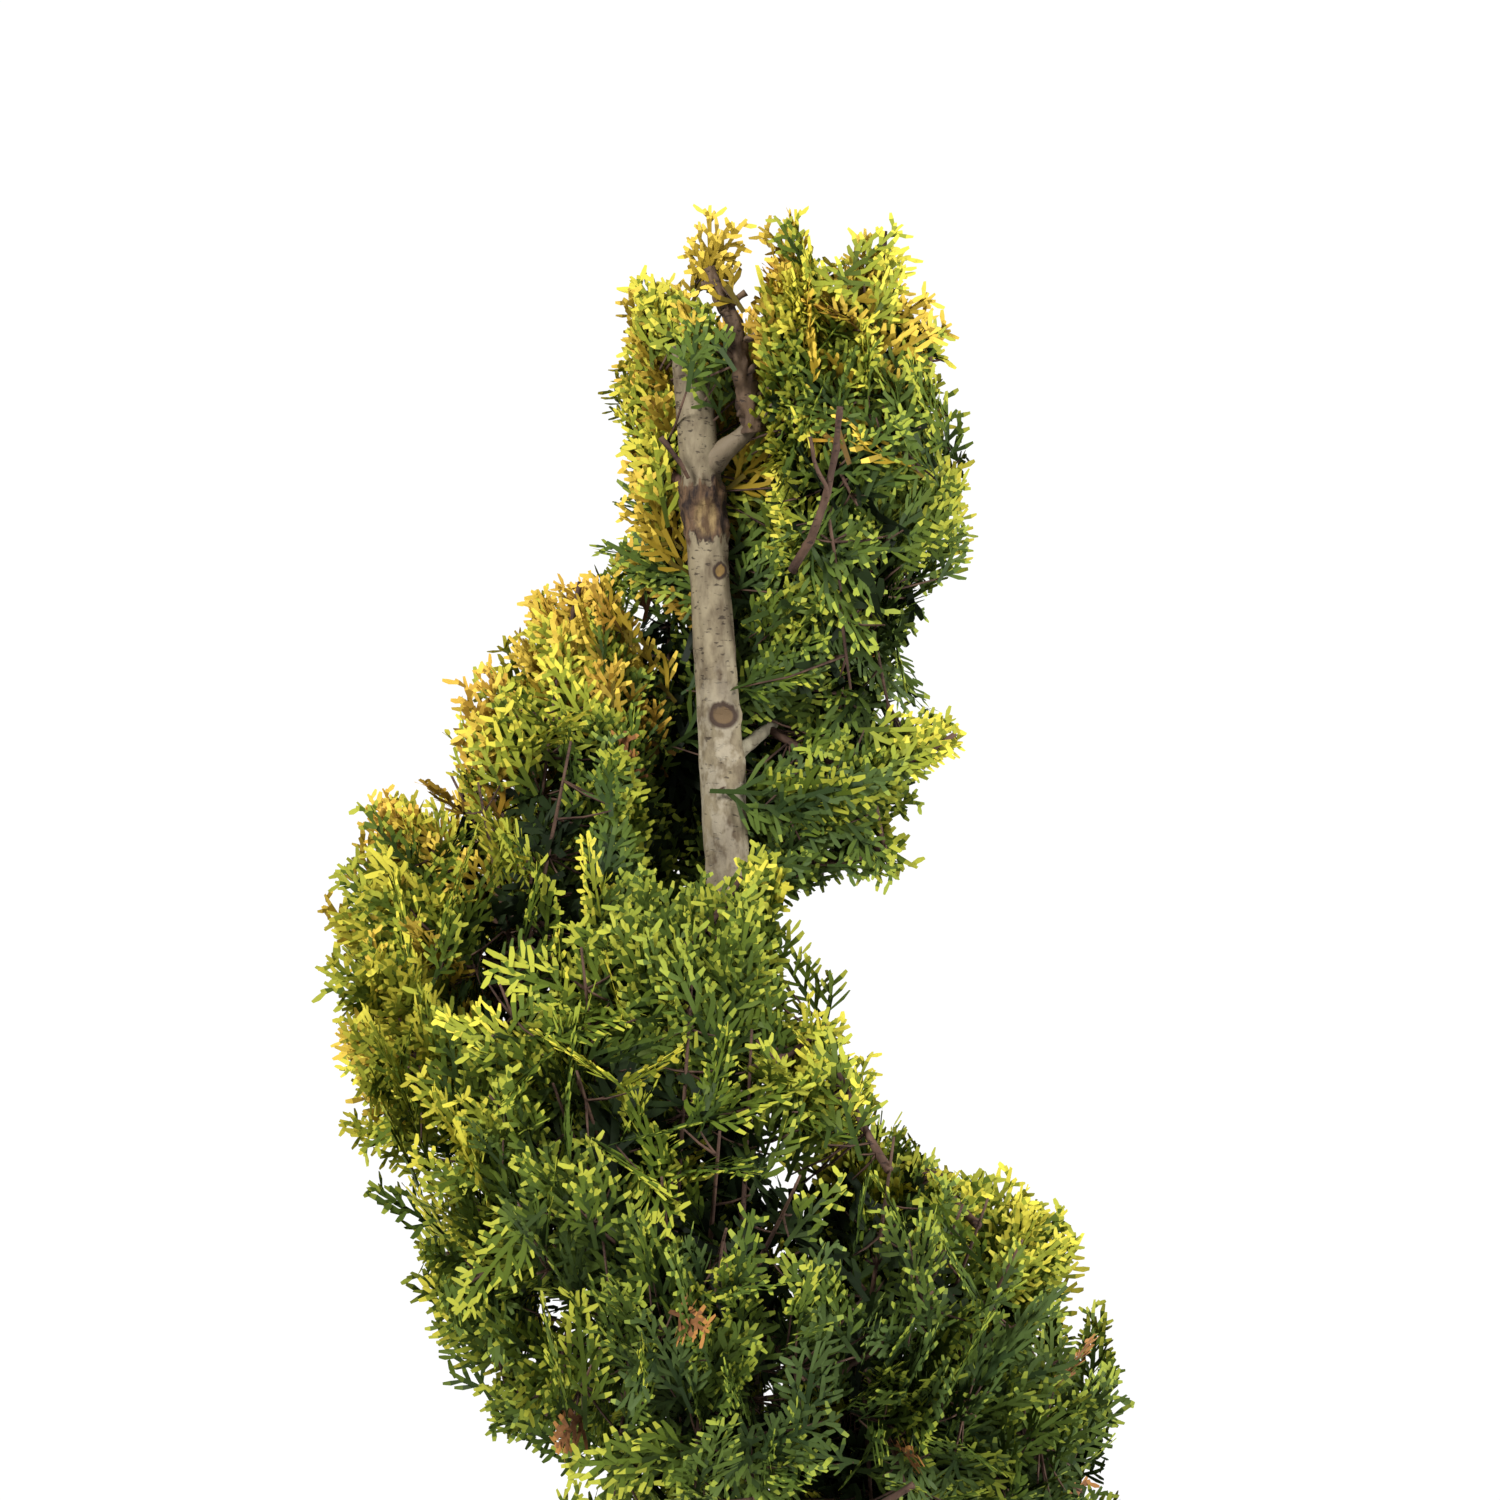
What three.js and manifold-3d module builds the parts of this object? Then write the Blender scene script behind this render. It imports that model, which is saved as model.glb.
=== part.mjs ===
// A young golden cypress clipped into a spiral, rooted in the ground.
// Millimetres, +Z up. The origin is the middle of the flat cut where the trunk meets the ground.
// -Y is the side that faces the viewer, +X is to the right.
import * as THREE from 'three';
import { mergeVertices } from 'three/addons/utils/BufferGeometryUtils.js';
import Module from 'manifold-3d';

const wasm = await Module();
wasm.setup();

// Driving dimensions of the whole plant
const height = 1000; // ground to the highest spray tip
const gap = 0.3; // clear space between neighbouring pieces
const hair = 0.02; // shorter edges are closed up
const seed = 731;

// Spiral ribbon of foliage. Angles are in degrees, 0 is +X and 90 is +Y, and the ribbon
// sinks as the angle grows.
const pitch = 285; // fall in one turn
const ribbonTop = 919; // height of the ribbon's middle at angle 0
const ribbonStart = -56;
const ribbonEnd = 952;
const massCount = 12;
const massAngle = 80; // angle that one mass of foliage takes
const firstMassAngle = 10; // middle of the topmost mass
const tipReach = 72; // outer radius at angle 0
const tipSpread = 43; // widening that the first turn adds
const spreadAngle = 58; // angle over which most of that widening comes
const coneSpread = 0.02; // further widening for each degree beyond coneStart
const coneStart = 270;
const frontSag = 30; // the ribbon hangs lower at the front of its first turn
const frontSagAngle = 250;
const frontSagSpread = 45;
const innerShare = 0.263; // clear radius round the trunk, as a share of the outer radius
const innerTip = 0.71; // how much of that clear radius is left at the plant's tip
const innerSpread = 120; // angle over which it widens
const riseInner = 108; // the ribbon's height above its middle beside the trunk
const riseOuter = 55; // the same near its outer edge
const dropInner = 110; // its depth below its middle beside the trunk
const dropOuter = 68; // the same near its outer edge
const endTaper = 52; // angle over which the ribbon's two ends fade out
const domeDrop = 80; // fall of the rounded tip from the top to domeReach
const domeReach = 85;
const domePower = 3.5;

// Trunk
const trunkTop = 958; // height of the sawn end
const trunkLean = -13.5; // sideways shift of the sawn end
const leanFrom = 790; // height above which the trunk leans
const trunkTipWidth = 11.3;
const trunkTaper = 23; // added width at the ground, before the flare
const trunkTaperPower = 1.25;
const trunkSway = 1.8;
const trunkSwayLength = 430;
const flareWidth = 10; // added width of the root flare at the ground
const flareHeight = 42;
const flareLobes = 5;
const flareLobeDepth = 0.1;

// Boughs
const boughBaseWidth = 6.4;
const boughTipWidth = 3.6;
const boughDrop = 40; // how far below the ribbon's middle a bough leaves the trunk
const boughRise = 0.62; // rise for each millimetre outwards
const boughSag = 0.06; // dip of a bough's middle, as a share of its reach
const lowForkAngle = 54; // the second bough leaves the trunk as a fork, lower down and to the right
const lowForkHeight = 833;
const lowForkWidth = 4.6;

// Masses of foliage
const coreInset = 21; // how far the core stays inside the outer reach
const coreInsetHeight = 15;
const coreLump = 3.5; // swellings and hollows of the core's surface
const twigsPerMass = 6; // main twigs, each with a fan of side twigs
const sideTwigs = 4;
const bladeLength = 48;
const bladeWidth = 28;
const bladeThickness = 0.045; // as a share of the blade's length
const bladeSink = 3.5; // how far a blade's root lies back from its twig's tip
const bladeAttempts = 12;
const twigWidth = 2.8;
const twigTipWidth = 1.6;
const twigSway = 10; // angle over which a side twig's place varies
const twigMargin = 6; // angle that the outermost twigs keep from the mass's two ends
const twigProud = 8; // how far a side twig stands out of the core
const massGap = 0.5; // angle that each mass keeps clear at its two ends
const raggedness = 6; // how far blade tips may pass the ribbon's skin

// Crown: the sawn trunk's top, the fork beside it and the thin leader that took over
const forkHeight = 921;
const forkWidth = 6.6;
const leaderBaseWidth = 6.8;
const leaderTipWidth = 3;
const leaderFoot = new THREE.Vector3(4.8, -4, 936);
const leaderTip = new THREE.Vector3(-8, -5, 981);
const crownTwigHeight = 912;
const crownCore = new THREE.Vector3(-27, 17, 946);
const crownCoreSize = new THREE.Vector3(9, 9, 21);
const crownReach = 45;
const crownTop = 986;
const crownTwigs = 6;
const crownTwigReach = 11; // how far a crown twig reaches from the core's middle
const crownSpraySize = 0.62; // against the sprays of the ribbon
const goldenShare = 0.618; // spreads a few things evenly round a turn

const colours = {
  bark: new THREE.Color(0.46, 0.40, 0.33),
  darkBark: new THREE.Color(0.16, 0.10, 0.07),
  bough: new THREE.Color(0.30, 0.17, 0.11),
  green: new THREE.Color(0.12, 0.22, 0.05),
  gold: new THREE.Color(0.60, 0.50, 0.08),
};

const toRadians = Math.PI / 180;
const up = new THREE.Vector3(0, 0, 1);

// Seeded random numbers between 0 and 1
function randomSource(start) {
  let state = start >>> 0;
  return () => {
    state = (state + 0x6d2b79f5) >>> 0;
    let mixed = Math.imul(state ^ (state >>> 15), state | 1);
    mixed ^= mixed + Math.imul(mixed ^ (mixed >>> 7), mixed | 61);
    return ((mixed ^ (mixed >>> 14)) >>> 0) / 4294967296;
  };
}

function smooth(share) {
  const held = Math.min(1, Math.max(0, share));
  return held * held * (3 - 2 * held);
}

function polar(radius, angle, z) {
  return new THREE.Vector3(
    radius * Math.cos(angle * toRadians),
    radius * Math.sin(angle * toRadians),
    z,
  );
}

// Turns a three.js geometry into a closed solid with its faces pointing out. Places are rounded
// to a micrometre, so that the two sides of a seam meet.
function solidOf(geometry) {
  geometry.deleteAttribute('normal');
  geometry.deleteAttribute('uv');
  const places = geometry.attributes.position.array;
  places.forEach((value, i) => {
    places[i] = Math.round(value * 1000) / 1000;
  });
  const merged = mergeVertices(geometry, 1e-4);
  const vertProperties = new Float32Array(merged.attributes.position.array);
  const order = Array.from(merged.index.array);
  const solid = new wasm.Manifold(
    new wasm.Mesh({ numProp: 3, vertProperties, triVerts: new Uint32Array(order) }),
  );
  if (solid.volume() > 0) {
    return solid;
  }
  const turned = new Uint32Array(order.reverse());
  return new wasm.Manifold(new wasm.Mesh({ numProp: 3, vertProperties, triVerts: turned }));
}

// Keeps the largest body of a solid, so that loose scraps and sealed hollows go
function largestBody(solid) {
  const bodies = solid.decompose();
  return bodies.reduce((best, body) => (body.volume() > best.volume() ? body : best));
}

// Closes up the edges shorter than a hair that fusing leaves where surfaces just cross
function withoutHairs(solid) {
  const { vertProperties, triVerts } = solid.getMesh();
  const places = new THREE.BufferAttribute(vertProperties, 3);
  const spotAt = (i) => new THREE.Vector3().fromBufferAttribute(places, i);
  const joined = Array.from({ length: places.count }, (_, i) => i);
  const keptSpot = (i) => (joined[i] === i ? i : keptSpot(joined[i]));
  for (let i = 0; i < triVerts.length; i += 1) {
    const next = i % 3 === 2 ? i - 2 : i + 1;
    if (spotAt(triVerts[i]).distanceTo(spotAt(triVerts[next])) < hair) {
      joined[keptSpot(triVerts[next])] = keptSpot(triVerts[i]);
    }
  }
  const order = [];
  for (let i = 0; i < triVerts.length; i += 3) {
    const corners = [0, 1, 2].map((j) => keptSpot(triVerts[i + j]));
    if (new Set(corners).size === 3) {
      order.push(...corners);
    }
  }
  return new THREE.BufferGeometry().setAttribute('position', places).setIndex(order);
}

function meshOf(solid, name, colour, roughness) {
  const made = largestBody(solidOf(withoutHairs(largestBody(solid)))).getMesh();
  const geometry = new THREE.BufferGeometry();
  geometry.setAttribute('position', new THREE.BufferAttribute(made.vertProperties, 3));
  geometry.setIndex(new THREE.BufferAttribute(made.triVerts, 1));
  geometry.computeVertexNormals();
  const material = new THREE.MeshStandardMaterial({ color: colour, roughness, metalness: 0 });
  const mesh = new THREE.Mesh(geometry, material);
  mesh.name = name;
  return mesh;
}

// A limb with round sections along a curve. widthAt takes the share along the limb.
function limb(curve, widthAt, sides, steps) {
  const geometry = new THREE.CylinderGeometry(1, 1, 1, sides, steps);
  const places = geometry.attributes.position;
  const chord = curve.getPoint(1).sub(curve.getPoint(0)).normalize();
  const guide = Math.abs(chord.z) > 0.8 ? new THREE.Vector3(1, 0, 0) : up;
  for (let i = 0; i < places.count; i += 1) {
    const share = places.getY(i) + 0.5;
    const along = curve.getTangent(share);
    const side = guide.clone().addScaledVector(along, -along.dot(guide)).normalize();
    const back = new THREE.Vector3().crossVectors(side, along);
    const place = curve.getPoint(share);
    place.addScaledVector(side, (places.getX(i) * widthAt(share)) / 2);
    place.addScaledVector(back, (places.getZ(i) * widthAt(share)) / 2);
    places.setXYZ(i, place.x, place.y, place.z);
  }
  return solidOf(geometry);
}

function tapered(startWidth, endWidth) {
  return (share) => startWidth + (endWidth - startWidth) * share;
}

function through(...points) {
  return new THREE.CatmullRomCurve3(points);
}

// Trunk: level sections, so that its foot is a flat cut
function trunkMiddle(z) {
  const lean = Math.max(0, (z - leanFrom) / (trunkTop - leanFrom));
  const sway = trunkSway * Math.sin((2 * Math.PI * z) / trunkSwayLength) * (1 - smooth(lean));
  return new THREE.Vector3(trunkLean * lean + sway, sway * 0.7, z);
}

function trunkRadius(z, turn) {
  const taper = trunkTaper * (1 - Math.min(1, z / trunkTop)) ** trunkTaperPower;
  const flare = Math.exp(-z / flareHeight);
  const lobes = 1 + flareLobeDepth * Math.cos(flareLobes * turn) * flare;
  return ((trunkTipWidth + taper + flareWidth * flare) / 2) * lobes;
}

// extra widens the trunk on all sides
function trunkSolid(extra) {
  const sides = 14;
  const steps = 16;
  const crowding = 1.35; // rings lie closer together in the flare
  const geometry = new THREE.CylinderGeometry(1, 1, 1, sides, steps);
  const places = geometry.attributes.position;
  for (let i = 0; i < places.count; i += 1) {
    const share = Math.min(1, Math.max(0, places.getY(i) + 0.5)) ** crowding;
    const turn = Math.atan2(places.getX(i), places.getZ(i));
    const fromAxis = Math.hypot(places.getX(i), places.getZ(i));
    const reach = fromAxis * (trunkRadius(share * trunkTop, turn) + extra);
    const middle = trunkMiddle(share * trunkTop);
    places.setXYZ(
      i,
      middle.x + Math.sin(turn) * reach,
      middle.y - Math.cos(turn) * reach,
      middle.z + extra * (2 * share - 1),
    );
  }
  return solidOf(geometry);
}

// Spiral ribbon: its middle, its reach and its half height at an angle
function ribbonMiddle(angle) {
  const sag = frontSag * Math.exp(-(((angle - frontSagAngle) / frontSagSpread) ** 2));
  return ribbonTop - (pitch * angle) / 360 - sag;
}

function ribbonFade(angle) {
  const fromStart = (angle - ribbonStart) / endTaper;
  const fromEnd = (ribbonEnd - angle) / endTaper;
  return 0.45 + 0.55 * smooth(Math.min(fromStart, fromEnd));
}

function ribbonReach(angle) {
  const cone = coneSpread * Math.max(0, angle - coneStart);
  const spread = tipSpread * (1 - Math.exp(-angle / spreadAngle)) + cone;
  const fade = smooth((ribbonEnd + 30 - angle) / endTaper);
  return (tipReach + spread) * (0.7 + 0.3 * fade);
}

function ribbonInner(angle) {
  const widening = innerTip + (1 - innerTip) * smooth(angle / innerSpread);
  return ribbonReach(Math.max(angle, 0)) * innerShare * widening;
}

// The ribbon's height above its middle, or its depth below it
function ribbonHalfHeight(angle, radius, above) {
  const inner = ribbonInner(angle);
  const share = (radius - inner) / (ribbonReach(angle) * 0.8 - inner);
  const held = Math.min(1.2, Math.max(0, share));
  const nearTrunk = above ? riseInner : dropInner;
  const nearEdge = above ? riseOuter : dropOuter;
  return (nearTrunk + (nearEdge - nearTrunk) * held) * ribbonFade(angle);
}

function domeLimit(radius) {
  return height - domeDrop * (radius / domeReach) ** domePower;
}

// A point on the ribbon's skin, or inside it by inset outwards and insetHeight up and down.
// turn is 0 outwards and 90 up.
function sectionPoint(angle, turn, inset, insetHeight) {
  const squareness = 0.55;
  const across = Math.cos(turn * toRadians);
  const rise = Math.sin(turn * toRadians);
  const u = Math.sign(across) * Math.abs(across) ** squareness;
  const v = Math.sign(rise) * Math.abs(rise) ** squareness;
  const inner = ribbonInner(angle);
  const outer = Math.max(inner + 12, ribbonReach(angle) - inset);
  const radius = (inner + outer) / 2 + (u * (outer - inner)) / 2;
  const half = Math.max(8, ribbonHalfHeight(angle, radius, v > 0) - insetHeight);
  const roof = domeLimit(radius) - insetHeight + v * 3;
  return polar(radius, angle, Math.min(ribbonMiddle(angle) + v * half, roof));
}

// The dense, lumpy heart of one mass, a length of the ribbon between two angles
function coreSolid(from, to) {
  const sides = 10;
  const steps = 5;
  const geometry = new THREE.CylinderGeometry(1, 1, 1, sides, steps);
  const places = geometry.attributes.position;
  for (let i = 0; i < places.count; i += 1) {
    const angle = from + (places.getY(i) + 0.5) * (to - from);
    const onAxis = Math.hypot(places.getX(i), places.getZ(i)) < 0.5;
    const turn = Math.atan2(places.getZ(i), places.getX(i)) / toRadians;
    const lump = coreLump * Math.sin(angle * 0.11 + 2 * turn * toRadians);
    const outer = sectionPoint(angle, 0, coreInset, coreInsetHeight);
    const inner = sectionPoint(angle, 180, coreInset, coreInsetHeight);
    const place = onAxis
      ? outer.add(inner).multiplyScalar(0.5)
      : sectionPoint(angle, turn, coreInset + lump, coreInsetHeight + lump);
    places.setXYZ(i, place.x, place.y, place.z);
  }
  return solidOf(geometry);
}

// A flat spray of scale leaves: a toothed blade with a low ridge along its middle.
// Half of its outline, as shares of its width and length, from the root to the tip.
const bladeEdge = [
  [0.5, 0.46],
  [0.2, 0.5],
  [0.37, 0.77],
  [0.12, 0.79],
];

function bladeGeometry(blade) {
  const left = bladeEdge.map(([across, share]) => [-across, share]).reverse();
  const outline = [[0, 0], ...bladeEdge, [0, 1], ...left];
  const face = new THREE.Vector3().crossVectors(blade.side, blade.along).normalize();
  const spots = outline.map(([across, share]) => blade.root.clone()
    .addScaledVector(blade.side, across * blade.width)
    .addScaledVector(blade.along, share * blade.length));
  const ridge = blade.root.clone().addScaledVector(blade.along, 0.47 * blade.length);
  const ridgeHeight = (blade.length * bladeThickness) / 2;
  spots.push(ridge.clone().addScaledVector(face, ridgeHeight));
  spots.push(ridge.clone().addScaledVector(face, -ridgeHeight));
  const count = outline.length;
  const order = outline.flatMap((_, i) => {
    const next = (i + 1) % count;
    return [i, next, count + 1, next, i, count];
  });
  return new THREE.BufferGeometry().setFromPoints(spots).setIndex(order);
}

function bladeFits(blade, inside) {
  const spots = bladeGeometry(blade).attributes.position;
  for (let i = 0; i < spots.count; i += 1) {
    if (!inside(new THREE.Vector3().fromBufferAttribute(spots, i))) {
      return false;
    }
  }
  return true;
}

// The spray on a side twig's tip leans away from the twig, mostly upwards. One that would leave
// the mass's space is turned and shortened, and skipped if that doesn't help.
function bladeOnTwig(twig, random, inside) {
  const line = twig.tip.clone().sub(twig.root).normalize();
  const root = twig.tip.clone().addScaledVector(line, -bladeSink);
  for (let attempt = 0; attempt < bladeAttempts; attempt += 1) {
    const drift = new THREE.Vector3(random() - 0.5, random() - 0.5, 0.1 + 0.5 * random());
    drift.addScaledVector(line, -drift.dot(line)).normalize();
    const lean = (12 + 38 * random()) * toRadians;
    const along = line.clone().multiplyScalar(Math.cos(lean));
    along.addScaledVector(drift, Math.sin(lean)).normalize();
    const level = new THREE.Vector3().crossVectors(along, line).normalize();
    const side = level.applyAxisAngle(along, (random() - 0.5) * 1.6);
    const size = twig.size * (1 - 0.045 * attempt) * (0.9 + 0.2 * random());
    const blade = { root, along, side, length: bladeLength * size, width: bladeWidth * size };
    if (bladeFits(blade, inside)) {
      return blade;
    }
  }
  return null;
}

// Fuses a mass: its core, its stem, the main twigs, their side twigs and a spray on each
function fuseMass(core, stem, twigs, random, inside) {
  const pieces = [limb(stem, tapered(boughTipWidth, twigWidth), 5, 3)];
  twigs.forEach((twig) => {
    const blade = bladeOnTwig(twig, random, inside);
    if (blade) {
      const line = new THREE.LineCurve3(twig.root, twig.tip);
      pieces.push(limb(line, tapered(twigWidth, twigTipWidth), 3, 1));
      pieces.push(solidOf(bladeGeometry(blade)));
    }
  });
  return pieces.reduce((whole, piece) => whole.add(piece), core);
}

// True where a point keeps to a mass's own length of the ribbon
function insideRibbon(point, mass) {
  const turn = Math.atan2(point.y, point.x) / toRadians;
  const angle = mass.angle + ((((turn - mass.angle + 180) % 360) + 360) % 360) - 180;
  const radius = Math.hypot(point.x, point.y);
  const edge = massGap + 10 / radius;
  const offset = point.z - ribbonMiddle(angle);
  return angle > mass.from + edge && angle < mass.to - edge
    && radius > ribbonInner(angle) + 1.5 && radius < ribbonReach(angle) + raggedness
    && Math.abs(offset) < ribbonHalfHeight(angle, radius, offset > 0) + raggedness
    && point.z < height;
}

function ribbonMass(index) {
  const angle = firstMassAngle + massAngle * index;
  const first = index === 0;
  const last = index === massCount - 1;
  const forked = index === 1;
  return {
    angle,
    from: first ? ribbonStart : angle - massAngle / 2,
    to: last ? ribbonEnd : angle + massAngle / 2,
    boughAngle: forked ? lowForkAngle : angle,
    boughHeight: forked ? lowForkHeight : ribbonMiddle(angle) - boughDrop,
    boughWidth: forked ? lowForkWidth : boughBaseWidth,
  };
}

// Main twigs leave the stem one after another, and each ends in a fan of side twigs that reach
// the ribbon's skin from its underside to its top
function ribbonTwigs(mass, stem, random) {
  const twigs = [];
  for (let i = 0; i < twigsPerMass; i += 1) {
    const share = (i + 0.5) / twigsPerMass;
    const angle = mass.from + twigMargin + share * (mass.to - mass.from - 2 * twigMargin);
    const fork = sectionPoint(angle, 0, coreInset * 2, coreInsetHeight)
      .lerp(stem.getPoint(0.3 + 0.7 * share), 0.3);
    for (let j = 0; j < sideTwigs; j += 1) {
      const turn = -112 + (224 * (j + 0.5 * (i % 2) + 0.5 * random())) / sideTwigs;
      const swayed = angle + twigSway * (random() - 0.5);
      const inset = coreInset - twigProud;
      const tip = sectionPoint(swayed, turn, inset, coreInsetHeight - twigProud);
      twigs.push({ root: fork, tip, size: 1 });
    }
  }
  return twigs;
}

// A bough's line, from inside the trunk to its tip
function boughLine(mass) {
  const reach = ribbonInner(mass.boughAngle) - 1;
  const start = trunkMiddle(mass.boughHeight);
  const tip = polar(reach, mass.boughAngle, mass.boughHeight + boughRise * reach);
  const bend = start.clone().lerp(tip, 0.5).add(new THREE.Vector3(0, 0, -boughSag * reach));
  return new THREE.QuadraticBezierCurve3(start, bend, tip);
}

// A mass's stem carries on from its bough's tip, a gap clear of it, into the mass
function stemLine(line, end) {
  const heading = line.getTangent(1);
  const start = line.getPoint(1).addScaledVector(heading, gap);
  const bend = start.clone().addScaledVector(heading, start.distanceTo(end) * 0.35);
  return new THREE.QuadraticBezierCurve3(start, bend, end);
}

const trunkRoom = trunkSolid(gap);
const group = new THREE.Group();
group.name = 'spiral_topiary';
group.add(meshOf(trunkSolid(0), 'trunk', colours.bark, 0.8));

// The fork beside the sawn top carries the first mass, and the leader stands on its bend
const forkLine = through(
  trunkMiddle(forkHeight),
  new THREE.Vector3(4.5, -3, 933),
  new THREE.Vector3(11.5, -3, 940),
);
const fork = limb(forkLine, tapered(forkWidth, boughTipWidth), 8, 6);
const forkRoom = limb(forkLine, tapered(forkWidth + 2 * gap, boughTipWidth + 2 * gap), 8, 6);
const leaderLine = through(
  leaderFoot.clone().add(new THREE.Vector3(0.4, 0.4, -4)),
  leaderFoot,
  new THREE.Vector3(2.2, -6, 951),
  new THREE.Vector3(-0.5, -6, 964),
  new THREE.Vector3(-4.6, -5.6, 973),
  leaderTip,
);
const leader = limb(leaderLine, tapered(leaderBaseWidth, leaderTipWidth), 7, 7);
group.add(meshOf(fork.subtract(trunkRoom), 'bough_01', colours.bough, 0.75));
group.add(meshOf(leader.subtract(forkRoom).subtract(trunkRoom), 'leader', colours.darkBark, 0.9));

// Two little sprays at the leader's tip, the highest point of the plant
function leaderSprays() {
  const stem = stemLine(leaderLine, leaderTip.clone().add(new THREE.Vector3(-0.6, 0, 6.5)));
  const root = stem.getPoint(0.75);
  const tips = [
    new THREE.Vector3(-8, -5, height),
    new THREE.Vector3(3.2, -6.5, height - 4),
    new THREE.Vector3(-15, -2, height - 8),
  ];
  const pieces = tips.map((tip, i) => {
    const along = tip.clone().sub(root);
    const length = along.length();
    along.normalize();
    const view = new THREE.Vector3(0.25 - 0.3 * i, 1, 0);
    const side = new THREE.Vector3().crossVectors(along, view).normalize();
    return solidOf(bladeGeometry({ root, along, side, length, width: length * 0.75 }));
  });
  const start = limb(stem, tapered(leaderTipWidth * 0.9, twigTipWidth), 5, 2);
  return pieces.reduce((whole, piece) => whole.add(piece), start);
}

group.add(meshOf(leaderSprays(), 'leader_sprays', colours.gold, 0.6));

// The golden sprays behind the sawn top, on a twig of their own
function insideCrown(point) {
  const angle = Math.atan2(point.y, point.x) / toRadians;
  const turned = angle < 0 ? angle + 360 : angle;
  const radius = Math.hypot(point.x, point.y);
  const trunkPlace = trunkMiddle(Math.min(point.z, trunkTop));
  const clear = Math.hypot(point.x - trunkPlace.x, point.y - trunkPlace.y);
  const roof = ribbonMiddle(turned) + ribbonHalfHeight(turned, radius, true) + raggedness + 2;
  return turned > 96 && turned < 232 && radius < crownReach && point.z > roof
    && point.z < crownTop && clear > trunkRadius(point.z, 0) + 1.5;
}

function crownSprays(line) {
  const random = randomSource(seed + massCount);
  const ball = new THREE.IcosahedronGeometry(1, 1);
  ball.scale(crownCoreSize.x, crownCoreSize.y, crownCoreSize.z);
  ball.translate(crownCore.x, crownCore.y, crownCore.z);
  const stem = stemLine(line, crownCore);
  const twigs = [];
  for (let i = 0; i < crownTwigs; i += 1) {
    const share = (i + 0.5) / crownTwigs;
    const turn = 110 + 150 * ((i * goldenShare + 0.3) % 1);
    const rise = (share - 0.42) * 2 * (crownCoreSize.z + 2);
    const tip = crownCore.clone().add(polar(crownTwigReach, turn, rise));
    twigs.push({ root: crownCore.clone().lerp(tip, 0.1), tip, size: crownSpraySize });
  }
  return fuseMass(solidOf(ball), stem, twigs, random, insideCrown);
}

const crownLine = through(
  trunkMiddle(crownTwigHeight),
  new THREE.Vector3(-17, 6, 918),
  new THREE.Vector3(-22, 13, 926),
);
const crownTwig = limb(crownLine, tapered(boughTipWidth, twigWidth), 6, 4);
group.add(meshOf(crownTwig.subtract(trunkRoom), 'crown_twig', colours.bough, 0.75));
group.add(meshOf(crownSprays(crownLine).subtract(trunkRoom), 'crown_sprays', colours.gold, 0.6));

// Boughs and the masses that they carry, from the top to the foot
for (let index = 0; index < massCount; index += 1) {
  const number = String(index + 1).padStart(2, '0');
  const random = randomSource(seed + index);
  const mass = ribbonMass(index);
  const line = index === 0 ? forkLine : boughLine(mass);
  if (index > 0) {
    const bough = limb(line, tapered(mass.boughWidth, boughTipWidth), 7, 3);
    group.add(meshOf(bough.subtract(trunkRoom), `bough_${number}`, colours.bough, 0.75));
  }
  const end = polar(ribbonReach(mass.angle) * 0.55, mass.angle, ribbonMiddle(mass.angle) + 4);
  const stem = stemLine(line, end);
  const core = coreSolid(mass.from + massGap, mass.to - massGap);
  const twigs = ribbonTwigs(mass, stem, random);
  const foliage = fuseMass(core, stem, twigs, random, (point) => insideRibbon(point, mass));
  group.add(meshOf(foliage, `foliage_${number}`, colours.green, 0.6));
}

export default group;
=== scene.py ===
import math

import bpy
import numpy as np
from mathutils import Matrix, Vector


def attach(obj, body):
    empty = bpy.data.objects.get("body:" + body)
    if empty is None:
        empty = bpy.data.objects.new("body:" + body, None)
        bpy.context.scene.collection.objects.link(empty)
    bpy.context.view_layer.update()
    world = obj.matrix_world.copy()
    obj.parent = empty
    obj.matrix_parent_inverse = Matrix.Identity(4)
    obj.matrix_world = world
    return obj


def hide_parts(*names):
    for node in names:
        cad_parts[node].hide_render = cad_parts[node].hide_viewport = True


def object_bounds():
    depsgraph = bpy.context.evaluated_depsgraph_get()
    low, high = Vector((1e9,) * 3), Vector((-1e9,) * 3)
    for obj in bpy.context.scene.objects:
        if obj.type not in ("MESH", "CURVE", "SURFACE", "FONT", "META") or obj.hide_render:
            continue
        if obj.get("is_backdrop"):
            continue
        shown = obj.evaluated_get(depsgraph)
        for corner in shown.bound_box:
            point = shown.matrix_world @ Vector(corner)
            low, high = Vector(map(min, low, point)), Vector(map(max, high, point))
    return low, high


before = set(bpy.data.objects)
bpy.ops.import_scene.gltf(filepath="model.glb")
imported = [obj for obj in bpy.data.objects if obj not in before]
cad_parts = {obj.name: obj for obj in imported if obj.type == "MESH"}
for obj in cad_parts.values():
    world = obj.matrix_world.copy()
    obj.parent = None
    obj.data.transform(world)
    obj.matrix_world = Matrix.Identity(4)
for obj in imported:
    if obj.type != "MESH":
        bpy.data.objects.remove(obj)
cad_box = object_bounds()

# TRUNK
# The plant's own stem: grey-beige bark over wood, cut flat at the ground and sawn off at the
# top. One closed tube of level rings, with flare, taper and lean, and with the bark's ripples,
# a torn ring of old bark, two healed knots and a ridge of bark under the low fork in its mesh.
METRE = 0.001  # every length below is in millimetres
HEIGHT = 1000
TRUNK_TOP = 958
TRUNK_LEAN = -13.5
LEAN_FROM = 790
TRUNK_TIP_WIDTH = 11.3
TRUNK_TAPER = 23  # wider by this at the ground
TAPER_POWER = 1.25
TRUNK_SWAY = 1.8
SWAY_LENGTH = 430
SWAY_DEPTH = 0.7  # share of the sway from front to back
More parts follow.
